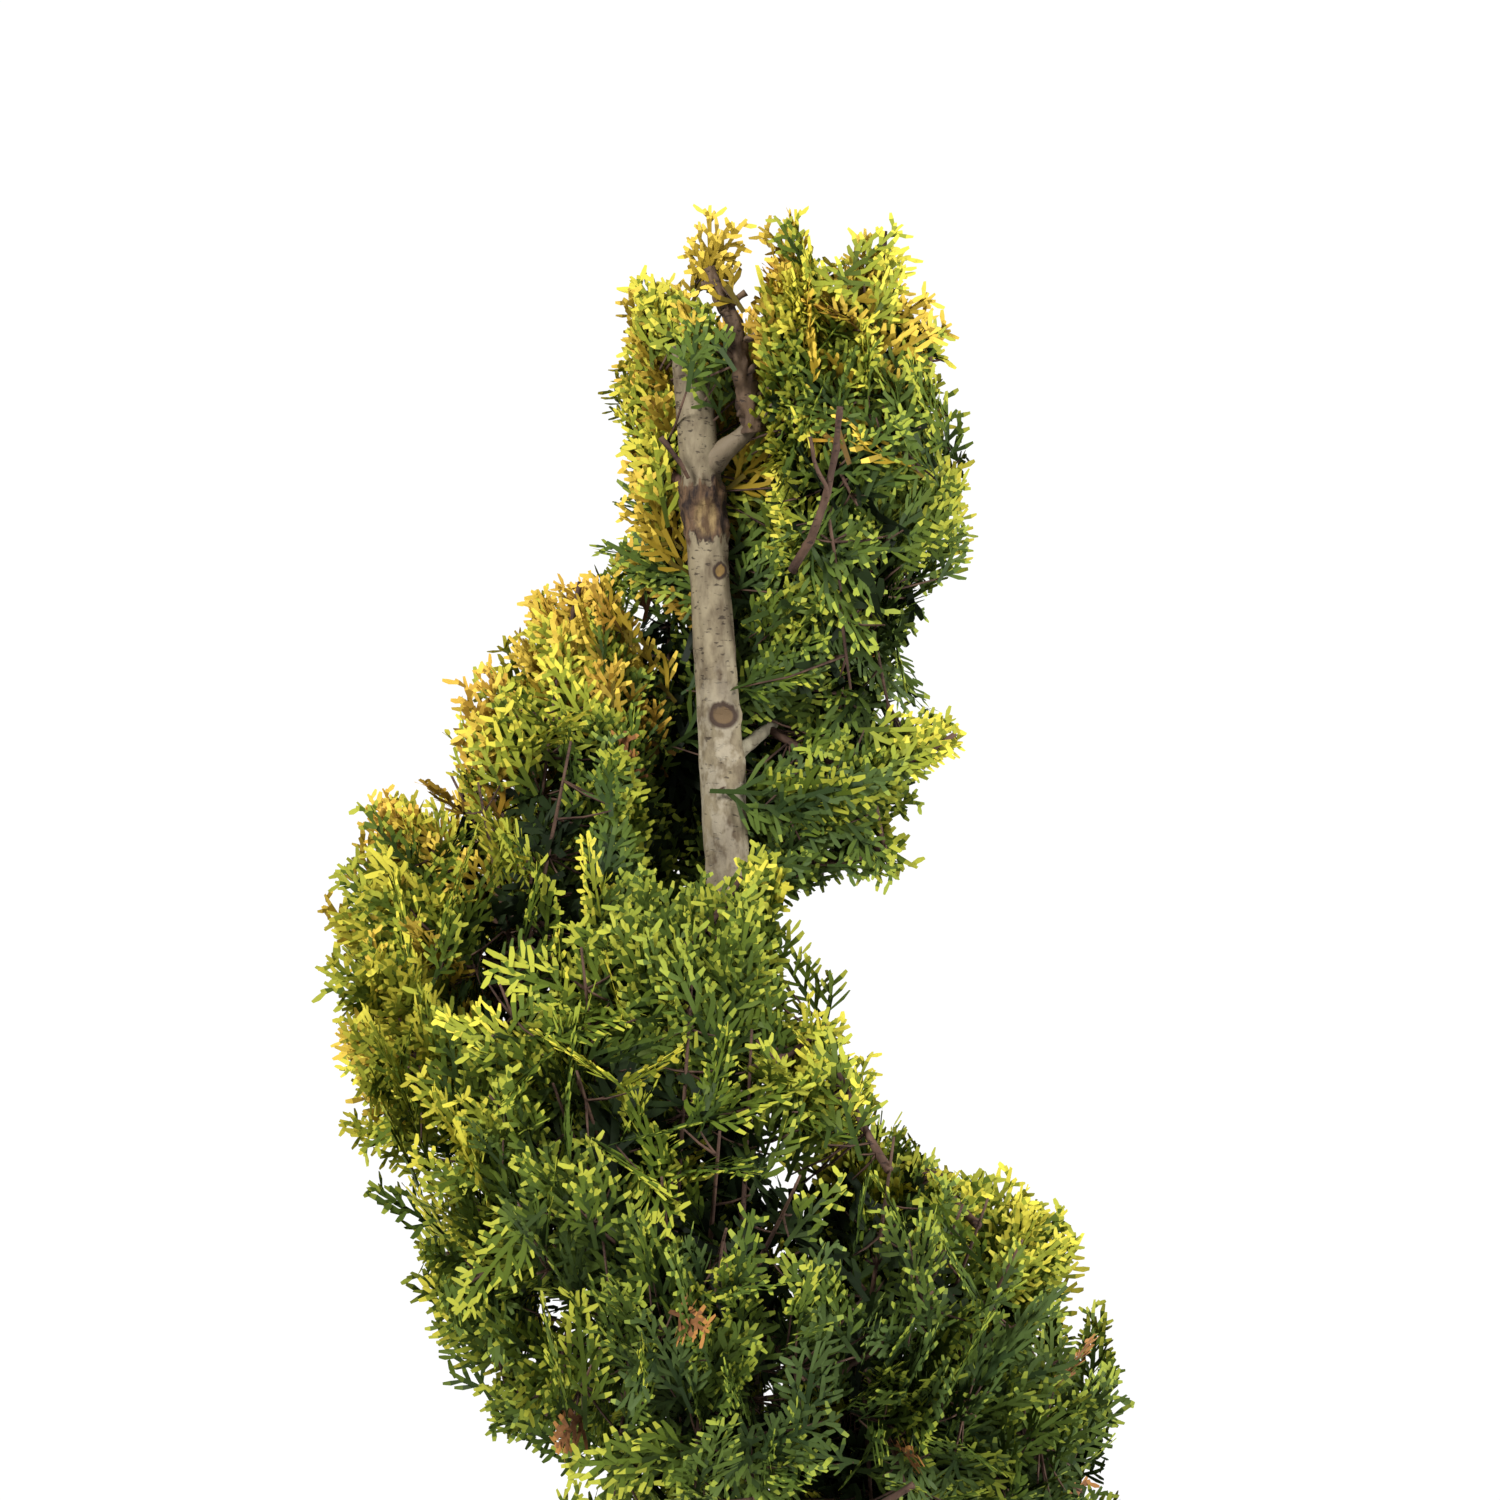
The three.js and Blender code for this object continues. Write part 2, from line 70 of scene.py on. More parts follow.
FLARE_WIDTH = 10
FLARE_HEIGHT = 42
FLARE_LOBES = 5
LOBE_DEPTH = 0.1
TRUNK_SIDES = 64
TRUNK_RINGS = 480
MOST_LOBES = 10
RIPPLES = (0.16, 90, 30)  # height, length and number of the bark's ripples
LEVEL_RIDGES = (0.10, 14, 12)  # the same of its level ridges
RELIEF_FULL_AT = 6
FRONT = 0.1  # the least cosine of a turn at the front
WOUND = (899.5, 918)  # torn bark all round: lower and upper edge
WOUND_EDGE = 3
WOUND_PROUD = 0.9
RAGGED_EDGE = (2.2, 60, 10)  # ripples of its edges
TORN_BARK = (0.55, 9, 18)  # ripples in the ring
WOUND_WOOD = (-8.5, 906.5, 4.2, 6.5)  # bare wood in it: across, up, half width, half height
WOOD_DEPTH = 1.3
KNOTS = (  # the same four, how proud the rim is, colour of the middle
    ((-4.5, 890.5, 2.4, 3.0), 0.5, (0.15, 0.09, 0.026, 1)),
    ((-3.4, 847.3, 5.2, 4.4), 0.9, (0.080, 0.050, 0.023, 1)),
)
KNOT_RIM = (0.15, 0.2)  # its place from edge to middle, and its spread
KNOT_DEPTH = 0.8
KNOT_MIDDLE = 0.62
PALE_PATCH = (787.5, 869.5, 30)  # paler bark: lower and upper edge, softness
RIDGE = (812, 842)  # bark that rises towards the low fork
RIDGE_TURN = 1.0  # from the front towards the right, in radians
RIDGE_SPREAD = 0.45
RIDGE_ENDS = (18, 8)
RIDGE_PROUD = 1.5


def both_ways(operation):
    """A shader value's operator, and its reflected form for a number on the left."""
    return (
        lambda self, other: self.maths(operation, self, other),
        lambda self, other: self.maths(operation, other, self),
    )


class Shade:
    """A shader value that adds, subtracts, multiplies and divides like a number."""

    __add__, __radd__ = both_ways("ADD")
    __sub__, __rsub__ = both_ways("SUBTRACT")
    __mul__, __rmul__ = both_ways("MULTIPLY")
    __truediv__, __rtruediv__ = both_ways("DIVIDE")
    __pow__, __rpow__ = both_ways("POWER")

    def __init__(self, tree, socket):
        self.tree = tree
        self.socket = socket

    def node(self, kind, settings, inputs, output=0):
        made = self.tree.nodes.new(kind)
        for name, value in settings.items():
            setattr(made, name, value)
        for name, value in inputs.items():
            if isinstance(value, Shade):
                self.tree.links.new(value.socket, made.inputs[name])
            else:
                made.inputs[name].default_value = value
        return Shade(self.tree, made.outputs[output])

    def maths(self, operation, first, second):
        return self.node("ShaderNodeMath", {"operation": operation}, {0: first, 1: second})

    def held(self):
        """Kept between 0 and 1."""
        return self.node("ShaderNodeClamp", {}, {0: self})

    def blend(self, first, second):
        """The first colour where this is 0 and the second where it is 1."""
        settings = {"data_type": "RGBA"}
        return self.node("ShaderNodeMix", settings, {0: self, 6: first, 7: second}, 2)


def smooth_step(share):
    held = np.clip(share, 0, 1)
    return held * held * (3 - 2 * held)


def turns_round(sides):
    return np.linspace(0, 2 * np.pi, sides, endpoint=False)


def trunk_middle(z):
    lean = np.maximum(0, (z - LEAN_FROM) / (TRUNK_TOP - LEAN_FROM))
    sway = TRUNK_SWAY * np.sin(2 * np.pi * z / SWAY_LENGTH) * (1 - smooth_step(lean))
    return np.stack([TRUNK_LEAN * lean + sway, sway * SWAY_DEPTH, z + 0 * sway], -1)


def trunk_radius(z, turn):
    taper = TRUNK_TAPER * (1 - np.minimum(1, z / TRUNK_TOP)) ** TAPER_POWER
    flare = np.exp(-z / FLARE_HEIGHT)
    lobes = 1 + LOBE_DEPTH * np.cos(FLARE_LOBES * turn) * flare
    return (TRUNK_TIP_WIDTH + taper + FLARE_WIDTH * flare) / 2 * lobes


def ripples(turn, along, shape, chance):
    """Relief that joins up round a limb: slanting waves at random, of a shape that says their
    height, their length along the limb and their number."""
    height, length, count = shape
    total = 0 * turn
    for _ in range(count):
        lobes = chance.integers(1, MOST_LOBES + 1)
        wave = length * chance.uniform(0.4, 1.6)
        slant = 2 * np.pi * along / wave + chance.uniform(0, 6.3)
        total = total + np.sin(lobes * turn + slant * chance.choice([-1, 1]))
    return height * (total / math.sqrt(count))


def near(x, z, spot):
    """1 in the middle of an oval spot on the trunk's front, 0 at its edge and below 0 outside."""
    across, up, half_width, half_height = spot
    return 1 - np.hypot((x - across) / half_width, (z - up) / half_height)


def closed_tube(places):
    """A tube from (rings, sides, 3) places, its ends closed by a fan to their middles."""
    count, sides, _ = places.shape
    rings = np.arange(count * sides).reshape(count, sides)
    after = np.roll(rings, -1, 1)
    one = np.stack([rings[:-1], after[:-1], after[1:]], -1).reshape(-1, 3)
    other = np.stack([rings[:-1], after[1:], rings[1:]], -1).reshape(-1, 3)
    start = np.stack([np.full(sides, count * sides), after[0], rings[0]], -1)
    end = np.stack([np.full(sides, count * sides + 1), rings[-1], after[-1]], -1)
    middles = np.stack([places[0].mean(0), places[-1].mean(0)])
    return np.concatenate([places.reshape(-1, 3), middles]), np.concatenate([one, other, start, end])


def stand(name, data):
    """A new object in the scene."""
    thing = bpy.data.objects.new(name, data)
    bpy.context.scene.collection.objects.link(thing)
    return thing


def make_piece(name, spots, faces, materials, tones, slot, node):
    """A mesh piece of the plant in metres. tones says which material each face takes."""
    mesh = bpy.data.meshes.new(name)
    mesh.vertices.add(len(spots))
    mesh.vertices.foreach_set("co", (np.asarray(spots) * METRE).astype(np.float32).ravel())
    mesh.loops.add(len(faces) * 3)
    mesh.loops.foreach_set("vertex_index", np.asarray(faces, np.int32).ravel())
    mesh.polygons.add(len(faces))
    mesh.polygons.foreach_set("loop_start", np.arange(0, len(faces) * 3, 3, dtype=np.int32))
    for material in materials:
        mesh.materials.append(material)
    mesh.polygons.foreach_set("material_index", np.broadcast_to(tones, len(faces)).astype(np.int32))
    mesh.polygons.foreach_set("use_smooth", np.ones(len(faces), bool))
    mesh.update(calc_edges=True)
    piece = stand(name, mesh)
    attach(piece, "root")
    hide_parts(node)


def new_material(name, gloss):
    material = bpy.data.materials.new(name)
    material.use_nodes = True
    shader = material.node_tree.nodes["Principled BSDF"]
    shader.inputs["Specular IOR Level"].default_value = gloss
    return material, shader


def bark(name, light, dark, speck, spotted=None):
    """Bark: blotches of a light and a dark tone, with short dark marks that lie level. spotted
    adds to the colour what only one limb has."""
    material, shader = new_material(name, 0.25)
    tree = material.node_tree
    start = Shade(tree, None)
    place = start.node("ShaderNodeTexCoord", {}, {}, 3)

    def cloud(scale, stretch, detail):
        """Soft noise of about scale spots a metre, and stretch times as many upwards."""
        inputs = {"Vector": place, "Scale": (scale, scale, scale * stretch)}
        moved = start.node("ShaderNodeMapping", {"vector_type": "POINT"}, inputs)
        inputs = {"Vector": moved, "Scale": 1.0, "Detail": detail, "Roughness": 0.6}
        return start.node("ShaderNodeTexNoise", {}, inputs)

    blotches = ((cloud(150, 0.45, 4.0) - 0.37) * 4.2).held()
    marks = ((cloud(330, 2.6, 2.0) - 0.60) * 14).held()
    grain = cloud(900, 1.0, 3.0)
    colour = blotches.blend((*dark, 1), (*light, 1))
    colour = (marks * 0.8).blend(colour, (*speck, 1))
    if spotted:
        colour = spotted(start, place, colour, cloud)
    tree.links.new(colour.socket, shader.inputs["Base Color"])
    rough = 0.9 - blotches * 0.2
    tree.links.new(rough.socket, shader.inputs["Roughness"])
    height = blotches * 0.4 + grain * 0.5 - marks * 0.5
    bump = start.node("ShaderNodeBump", {}, {"Strength": 0.5, "Distance": 0.0006, "Height": height})
    tree.links.new(bump.socket, shader.inputs["Normal"])
    return material


def wounds(start, place, colour, cloud):
    """The trunk's torn ring with its bare ochre wood, its two knots and the pale lower bark."""
    split = start.node("ShaderNodeSeparateXYZ", {}, {0: place}).socket.node
    x, y, z = (Shade(start.tree, socket) for socket in split.outputs)
    rough_edge = (cloud(330, 0.3, 4.0) - 0.5) * 0.016
    front = (0.0 - y * 1000 - 1.0).held()  # 1 from 2 mm before the axis on

    def between(low, high, softness):
        """1 between two heights and 0 beyond them, with rough edges."""
        rising = ((z + rough_edge - low * METRE) / (softness * METRE)).held()
        falling = ((high * METRE - z - rough_edge) / (softness * METRE)).held()
        return rising * falling

    def oval(spot, edge, size=1):
        """1 in an oval spot on the front and 0 round it, with a rough edge."""
        across, up, half_width, half_height = spot
        right = (x - across * METRE) / (half_width * size * METRE)
        rise = (z + rough_edge * 0.15 - up * METRE) / (half_height * size * METRE)
        away = (right * right + rise * rise) ** 0.5 + rough_edge * 25
        return ((1.0 - away) * edge).held() * front

    patches = ((cloud(210, 0.7, 3.0) - 0.47) * 9).held()
    pale = between(*PALE_PATCH) * patches * 0.6
    colour = pale.blend(colour, (0.275, 0.24, 0.175, 1))
    streaks = ((cloud(420, 0.3, 4.0) - 0.40) * 4).held()
    torn = streaks.blend((0.012, 0.006, 0.004, 1), (0.105, 0.060, 0.030, 1))
    colour = between(*WOUND, 1.0).blend(colour, torn)
    wood = streaks.blend((0.055, 0.030, 0.012, 1), (0.19, 0.13, 0.055, 1))
    colour = oval(WOUND_WOOD, 3).blend(colour, wood)
    for spot, _, core in KNOTS:
        rim, middle = oval(spot, 5), oval(spot, 5, KNOT_MIDDLE)
        colour = middle.blend(rim.blend(colour, (0.03, 0.017, 0.010, 1)), core)
    return colour


chance = np.random.default_rng(11)
ring_turn, ring_z = np.meshgrid(turns_round(TRUNK_SIDES), TRUNK_TOP * np.linspace(0, 1, TRUNK_RINGS))
places = trunk_middle(ring_z)
radius = trunk_radius(ring_z, ring_turn)
face_x = places[..., 0] + np.sin(ring_turn) * radius
front_side = np.cos(ring_turn) > FRONT
relief = ripples(ring_turn, ring_z, RIPPLES, chance)
relief += ripples(ring_turn * 0, ring_z, LEVEL_RIDGES, chance)
edge_z = ring_z + ripples(ring_turn, ring_z, RAGGED_EDGE, chance)
in_wound = smooth_step((edge_z - WOUND[0]) / WOUND_EDGE) * smooth_step((WOUND[1] - edge_z) / WOUND_EDGE)
relief += in_wound * (WOUND_PROUD + ripples(ring_turn, ring_z, TORN_BARK, chance))
relief -= WOOD_DEPTH * front_side * smooth_step(2.5 * near(face_x, ring_z, WOUND_WOOD))
for spot, proud, _ in KNOTS:
    nearness = near(face_x, ring_z, spot)
    rim = np.exp(-((nearness - KNOT_RIM[0]) / KNOT_RIM[1]) ** 2)
    relief += front_side * proud * (rim - KNOT_DEPTH * smooth_step(nearness * 2.2 - 0.5))
ridge_side = np.exp(-((ring_turn - RIDGE_TURN) / RIDGE_SPREAD) ** 2)
ridge_rise = smooth_step((ring_z - RIDGE[0]) / RIDGE_ENDS[0])
ridge_rise *= smooth_step((RIDGE[1] - ring_z) / RIDGE_ENDS[1])
relief += RIDGE_PROUD * ridge_side * ridge_rise
radius = radius + relief * smooth_step(ring_z / RELIEF_FULL_AT)
places[..., 0] += np.sin(ring_turn) * radius
places[..., 1] -= np.cos(ring_turn) * radius
spots, faces = closed_tube(places)
tones = np.zeros(len(faces), int)
tones[-TRUNK_SIDES:] = 1
grey_bark = bark("grey bark", (0.180, 0.147, 0.090), (0.062, 0.044, 0.026), (0.02, 0.013, 0.008), wounds)
sawn_wood = bark("sawn wood", (0.30, 0.24, 0.16), (0.16, 0.12, 0.08), (0.04, 0.03, 0.02))
make_piece("trunk_bark", spots, faces, [grey_bark, sawn_wood], tones, "bark", "trunk")

# BOUGHS
# One tapering limb for each mass of foliage, red-brown and thinly barked, except the two forks
# that show beside the trunk, one grey-brown and one pale. Each is a closed tube that starts in
# the trunk, with a collar where it leaves the bark, and ends where it enters its foliage.
MASS_COUNT = 12
MASS_ANGLE = 80
FIRST_ANGLE = 10
RIBBON_START = -56  # the angle at the ribbon's upper end, in degrees; 0 is on the right
RIBBON_END = 952
PITCH = 285
RIBBON_TOP = 919  # the height of its middle at angle 0
FRONT_SAG = (30, 250, 45)  # how far it hangs at the front, angle and spread
TIP_REACH = 72  # how far out it reaches at the top
TIP_SPREAD = 43
SPREAD_ANGLE = 58
CONE_SPREAD = 0.02  # wider by this a degree further down
CONE_START = 270
INNER_SHARE = 0.263  # its inner edge, as a share of its reach
INNER_TIP = 0.71
INNER_SPREAD = 120
END_TAPER = 52
END_OVERHANG = 30
END_REACH = 0.3  # share of its reach lost at the lower end
BOUGH_WIDTH = 6.4
BOUGH_TIP_WIDTH = 3.6
BOUGH_DROP = 40
BOUGH_RISE = 0.62
BOUGH_SAG = 0.06
BOUGH_RINGS = 30
BOUGH_SIDES = 16
BOUGH_RELIEF = 0.14
LIMB_WAVES = (12, 14)  # length and number of the ripples in a limb's bark
COLLAR_SHARE = 0.45  # a collar's width, as a share of the bough's
COLLAR_REACH = 2.6
LOW_FORK = (54, 833, 4.6)  # the second bough: angle, foot's height, width
FORK_LINE = ((4.5, -3, 933), (11.5, -3, 940))
FORK_HEIGHT = 921
FORK_WIDTH = 6.6
GAP = 0.3  # from a bough's end to the stem that carries on


def polar(reach, angle, z):
    """A place by its distance from the axis, its angle in degrees and its height."""
    turned = np.radians(angle)
    return np.stack([reach * np.cos(turned), reach * np.sin(turned), z + 0 * turned], -1)


def ribbon_middle(angle):
    deep, where, spread = FRONT_SAG
    return RIBBON_TOP - PITCH * angle / 360 - deep * np.exp(-(((angle - where) / spread) ** 2))


def ribbon_reach(angle):
    cone = CONE_SPREAD * np.maximum(0, angle - CONE_START)
    spread = TIP_SPREAD * (1 - np.exp(-angle / SPREAD_ANGLE)) + cone
    fade = smooth_step((RIBBON_END + END_OVERHANG - angle) / END_TAPER)
    return (TIP_REACH + spread) * (1 - END_REACH + END_REACH * fade)


def ribbon_inner(angle):
    widening = INNER_TIP + (1 - INNER_TIP) * smooth_step(angle / INNER_SPREAD)
    return ribbon_reach(np.maximum(angle, 0)) * INNER_SHARE * widening


def unit(vector):
    return vector / np.linalg.norm(vector)


def bent_line(start, bend, end, count):
    share = np.linspace(0, 1, count)[:, None]
    return (1 - share) ** 2 * start + 2 * share * (1 - share) * bend + share ** 2 * end


def through(points, count):
    """A smooth line through all the points."""
    held = np.array([2 * points[0] - points[1], *points, 2 * points[-1] - points[-2]])
    line = []
    for place in np.linspace(0, len(points) - 1 - 1e-6, count):
        i, t = int(place), place % 1
        a, b, c, d = held[i : i + 4]
        line.append(b + 0.5 * t * (c - a + t * (2 * a - 5 * b + 4 * c - d + t * (3 * (b - c) + d - a))))
    return np.array(line)


def limb(line, foot_width, tip_width, sides, relief=0):
    """A closed round tube along a line. relief is added to its radius, (rings, sides)."""
    along = np.gradient(line, axis=0)
    along /= np.linalg.norm(along, axis=1, keepdims=True)
    side = np.cross(along[0], (0.31, 0.22, -0.92))
    across = np.empty_like(along)
    for ring, heading in enumerate(along):
        side = across[ring] = unit(side - heading * side.dot(heading))
    back = np.cross(along, across)[:, None]
    turn = turns_round(sides)[None, :, None]
    radius = (np.linspace(foot_width, tip_width, len(line))[:, None] / 2 + relief)[..., None]
    return closed_tube(line[:, None] + radius * (np.cos(turn) * across[:, None] + np.sin(turn) * back))


def barked_limb(line, foot_width, tip_width, sides, roughness, chance, collar=0):
    travelled = np.append(0, np.cumsum(np.linalg.norm(np.diff(line, axis=0), axis=1)))
    turn, along = np.meshgrid(turns_round(sides), travelled)
    relief = ripples(turn, along, (roughness, *LIMB_WAVES), chance) + collar
    return limb(line, foot_width, tip_width, sides, relief)


def collar(line, width):
    """What a limb's radius has more near the trunk's surface."""
    away = np.linalg.norm((line - trunk_middle(line[:, 2]))[:, :2], axis=1)
    beyond = away - trunk_radius(line[:, 2], 0)
    return width / 2 * np.exp(-np.maximum(0, beyond + 1) / COLLAR_REACH)[:, None]


def bough_line(mass):
    """A bough's line from inside the trunk to its tip, and its width at the foot."""
    if mass["index"] == 0:
        return through(np.array([trunk_middle(FORK_HEIGHT), *FORK_LINE]), BOUGH_RINGS), FORK_WIDTH
    angle, foot, width = mass["angle"], ribbon_middle(mass["angle"]) - BOUGH_DROP, BOUGH_WIDTH
    if mass["index"] == 1:
        angle, foot, width = LOW_FORK
    reach = ribbon_inner(angle) - 1
    start = trunk_middle(foot)
    tip = polar(reach, angle, foot + BOUGH_RISE * reach)
    bend = (start + tip) / 2 + (0, 0, -BOUGH_SAG * reach)
    return bent_line(start, bend, tip, BOUGH_RINGS), width


fork_bark = bark("fork bark", (0.13, 0.10, 0.062), (0.05, 0.036, 0.022), (0.02, 0.013, 0.008))
pale_bark = bark("pale bark", (0.29, 0.26, 0.18), (0.12, 0.10, 0.065), (0.03, 0.02, 0.012))
red_bark = bark("red bark", (0.12, 0.06, 0.036), (0.045, 0.022, 0.014), (0.02, 0.01, 0.008))
twig_bark = bark("twig bark", (0.075, 0.04, 0.024), (0.035, 0.018, 0.012), (0.02, 0.01, 0.008))
masses = [
    {
        "index": index,
        "name": f"{index + 1:02d}",
        "angle": FIRST_ANGLE + MASS_ANGLE * index,
        "from": FIRST_ANGLE + MASS_ANGLE * (index - 0.5) if index else RIBBON_START,
        "to": FIRST_ANGLE + MASS_ANGLE * (index + 0.5) if index < MASS_COUNT - 1 else RIBBON_END,
    }
    for index in range(MASS_COUNT)
]
for mass in masses:
    line, width = bough_line(mass)
    more = collar(line, COLLAR_SHARE * width)
    spots, faces = barked_limb(line, width, BOUGH_TIP_WIDTH, BOUGH_SIDES, BOUGH_RELIEF, chance, more)
    skin = (fork_bark, pale_bark)[mass["index"]] if mass["index"] < 2 else red_bark
    name = mass["name"]
    make_piece("bough_bark_" + name, spots, faces, [skin], 0, "bough_bark", "bough_" + name)

# LEADER
# The thin, crooked shoot that took over when the top was sawn off. Dark brown, flaking bark,
# with the stubs of cut twigs. It stands on the upper fork and carries the highest sprays.
LEADER_WIDTH = 7.6
LEADER_TIP_WIDTH = 3.4
LEADER_RINGS = 60
LEADER_RELIEF = 0.6
STUB_WIDTH = 2.1
STUB_RELIEF = 0.2
LEADER_LINE = (
    (5.2, -3.6, 932), (4.8, -4, 936), (2.2, -6, 951), (-0.5, -6, 964), (-4.6, -5.6, 973), (-8, -5, 981),
)
LEADER_STUBS = (  # height up the leader as a share, heading, length
    (0.52, (0.95, -0.25, 0.3), 6.5), (0.62, (-0.6, -0.3, 0.75), 5),
    (0.86, (-0.85, -0.1, 0.2), 5.5), (0.36, (0.5, -0.55, 0.6), 6), (0.2, (-0.8, -0.4, 0.45), 5),
    (0.44, (-0.9, -0.3, 0.5), 9), (0.3, (0.95, -0.1, 0.35), 8), (0.7, (0.8, -0.2, 0.7), 7),
)
dark_bark = bark("dark bark", (0.10, 0.062, 0.034), (0.028, 0.016, 0.010), (0.01, 0.006, 0.004))
leader_line = through(np.array(LEADER_LINE), LEADER_RINGS)
parts = [barked_limb(leader_line, LEADER_WIDTH, LEADER_TIP_WIDTH, 18, LEADER_RELIEF, chance)]
for place, heading, length in LEADER_STUBS:
    foot = leader_line[int(place * (LEADER_RINGS - 1))]
    tip = foot + np.array(heading) * length
    stub = bent_line(foot, (foot + tip) / 2 + (0, 0, 0.6), tip, 10)
    parts.append(barked_limb(stub, STUB_WIDTH, STUB_WIDTH, 10, STUB_RELIEF, chance))


def gathered(parts):
    """Several (spots, faces) joined into one."""
    starts = np.cumsum([0] + [len(spots) for spots, _ in parts[:-1]])
    spots = np.concatenate([spots for spots, _ in parts])
    return spots, np.concatenate([faces + start for (_, faces), start in zip(parts, starts)])


spots, faces = gathered(parts)
make_piece("leader_bark", spots, faces, [dark_bark], 0, "leader_bark", "leader")

# FOLIAGE
# Twelve masses follow one another down the spiral. In each, a stem carries on from the bough and
# forks by the plant's seeded rule into twigs with flat sprays: branchlets on both sides of an
# axis, all blunt cords of scale leaves, green inside, yellow at the ends and golden to the sun.
# Near-black sprays deep in each mass are painted shade.
SEED = 731
RISE = (108, 55)  # the ribbon's height above its middle, beside the trunk and at its edge
DROP = (110, 68)  # its depth below its middle, the same two
EDGE_AT = 0.8  # where it has its edge's height, as a share of its reach
EDGE_MOST = 1.2  # how far the change goes on beyond
END_HEIGHT = 0.45  # share of its height left at its ends
SECTION_HALF = (40, 85)  # about half its width and height
DOME_DROP = 80  # how far the clipped dome comes down over its reach
DOME_REACH = 85
DOME_POWER = 3.5
SECTION_POWER = 0.55  # a round section has 1 here and a square one 0
CORE_INSET = 21  # how deep the dense middle lies under the skin
CORE_INSET_HEIGHT = 15
TWIGS_PER_MASS = 6
SIDE_TWIGS = 4
TWIG_WIDTH = 2.8
TWIG_TIP_WIDTH = 1.6
TWIG_SWAY = 10
TWIG_MARGIN = 6
TWIG_PROUD = 8
CORD_WIDTH = 1.55
SPRAY_SHAPES = {  # length, gaps between branchlets and between their shoots, cord, how many
    "long": (54, 3.6, 2.8, CORD_WIDTH, 5),
    "middle": (39, 3.4, 2.8, CORD_WIDTH, 7),
    "short": (26, 3.1, 2.7, CORD_WIDTH, 5),
    "coarse": (42, 5.0, 6.0, CORD_WIDTH * 1.6, 4),
}
BLUNT_CORD = ((0, 0.6), (0.58, 1.0), (1, 0.55))  # how far along the last piece of a cord, how wide
INNER_CORD = ((0, 0.8), (1, 1.0))
CORD_PIECE = (10, 9)  # length of the pieces of an axis and of a branchlet
BRANCHLET_ANGLES = (32, 46)
BRANCHLET_REACH = (0.30, 0.7, 0.06)  # share of the spray's length, its fall to the tip, the least
SHOOT_ANGLES = (30, 44)
SHOOT_REACH = (0.42, 3.6)  # share of the rest of the branchlet, and what is added
SKIN_SPRAYS = 310  # on a mass that reaches out as far as FULL_REACH
FULL_REACH = 115
# near-black sprays of painted shade inside each mass
SHADE_SPRAYS = 100
CAP_SPRAYS = 60  # on each end of the ribbon
FOOT_MARGIN = 9  # how deep a spray's foot is in its mass
TRIES = 30  # to find a spray a place
FAN_SIZE = 3
FAN_SHARE = 0.45  # of the skin's sprays
FAN_SPREAD = 4.5  # in degrees
OUTER_SHARE = 0.84  # of the skin's sprays, on the side away from the trunk
OUTER_PART = 0.36  # half of that side, as a share of the way round the section
SKIN_DEPTH = 30
SKIN_PROUD = 10
LESS_PROUD = (8, 830, 50)  # how much less high up, from which height and over how much
LESS_RIGHT = 8
FLAT_OUT = (0.24, 0.66)  # share of sprays that lie flat on the skin, and how much more in front
LEANS = {"skin": (22, 76), "shade": (30, 85), "cap": (25, 75)}  # of a spray from straight out
KIND_SHARES = {"skin": (0.12, 0.42, 0.46), "cap": (0.1, 0.5, 0.4), "tuft": (0.08, 0.52, 0.4)}
SHADE_DEPTH = (26, 42)  # of the inner sprays of painted shade: the least and how much more
CAP_DEPTH = (2, 34)
SUN = np.array([-0.62, 0.45, 0.36])  # the way to it, times its strength
SUN_BY_DEPTH = -0.018
SUN_HEIGHT = (875, 80, 0.8)  # more sun from here up, over how much, and how much more
SUN_LEFT = (45, 50, 0.3)  # the same towards the left
DULL_PARTS = ((860, -88, 30), (955, 0, 12))  # less sun below a height, right of and before a place
DULL_SUN = 0.84  # the most there
TOP_SUN = (962, 0.6)  # the least, and from which height up
RUST_SHARE = 0.008  # dead sprays
TONES_BY_SUN = (  # least sun, two tones, and the share of the first
    (0.85, "gold", "amber", 0.8),
    (0.52, "lime", "green", 0.75),
    (0.30, "green", "lime", 0.6),
    (-0.5, "green", "leaf", 0.55),
    (-9, "leaf", "blue", 0.75),
)
LEAF_TONES = {  # inner, middle and tip colour, and how far out along a spray the last two start
    "gold": ((0.075, 0.055, 0.007), (0.22, 0.15, 0.013), (0.54, 0.38, 0.05), 0.15, 0.66),
    "amber": ((0.09, 0.05, 0.008), (0.26, 0.15, 0.016), (0.56, 0.35, 0.05), 0.15, 0.66),
    "lime": ((0.055, 0.075, 0.009), (0.18, 0.20, 0.019), (0.47, 0.42, 0.045), 0.22, 0.64),
    "green": ((0.022, 0.037, 0.006), (0.064, 0.092, 0.010), (0.28, 0.29, 0.032), 0.28, 0.70),
    "leaf": ((0.022, 0.038, 0.008), (0.055, 0.084, 0.013), (0.21, 0.245, 0.03), 0.30, 0.78),
    "blue": ((0.020, 0.036, 0.010), (0.046, 0.072, 0.018), (0.16, 0.20, 0.035), 0.30, 0.90),
    # shade: near-black sprays of painted shade, deep inside the masses where there is only shadow
    "shade": ((0.005, 0.009, 0.003), (0.009, 0.016, 0.004), (0.016, 0.028, 0.006), 0.3, 0.9),
    "rust": ((0.10, 0.045, 0.02), (0.17, 0.075, 0.03), (0.30, 0.14, 0.04), 0.3, 0.7),
}
BARE_TRUNK = (806, 925, 9.5)  # where it is in view, from and to a height, and half its width
BARE_LEADER = (985, 10)  # from there up to a height, half width
LEADER_ACROSS = ((925, 950, 985), (-2, 1, -7))  # where it stands at three heights
BARE_TOP = (940, -11, 8)  # the sawn top beside its foot: up to this height, across, half width
BARE_FORK = (13, 838, 0.8, 14, 7)  # the low fork: across, up, slope, half height and half width
VIEW_DEPTH = (7, 18)  # how far back a spray still covers the trunk, and the fork
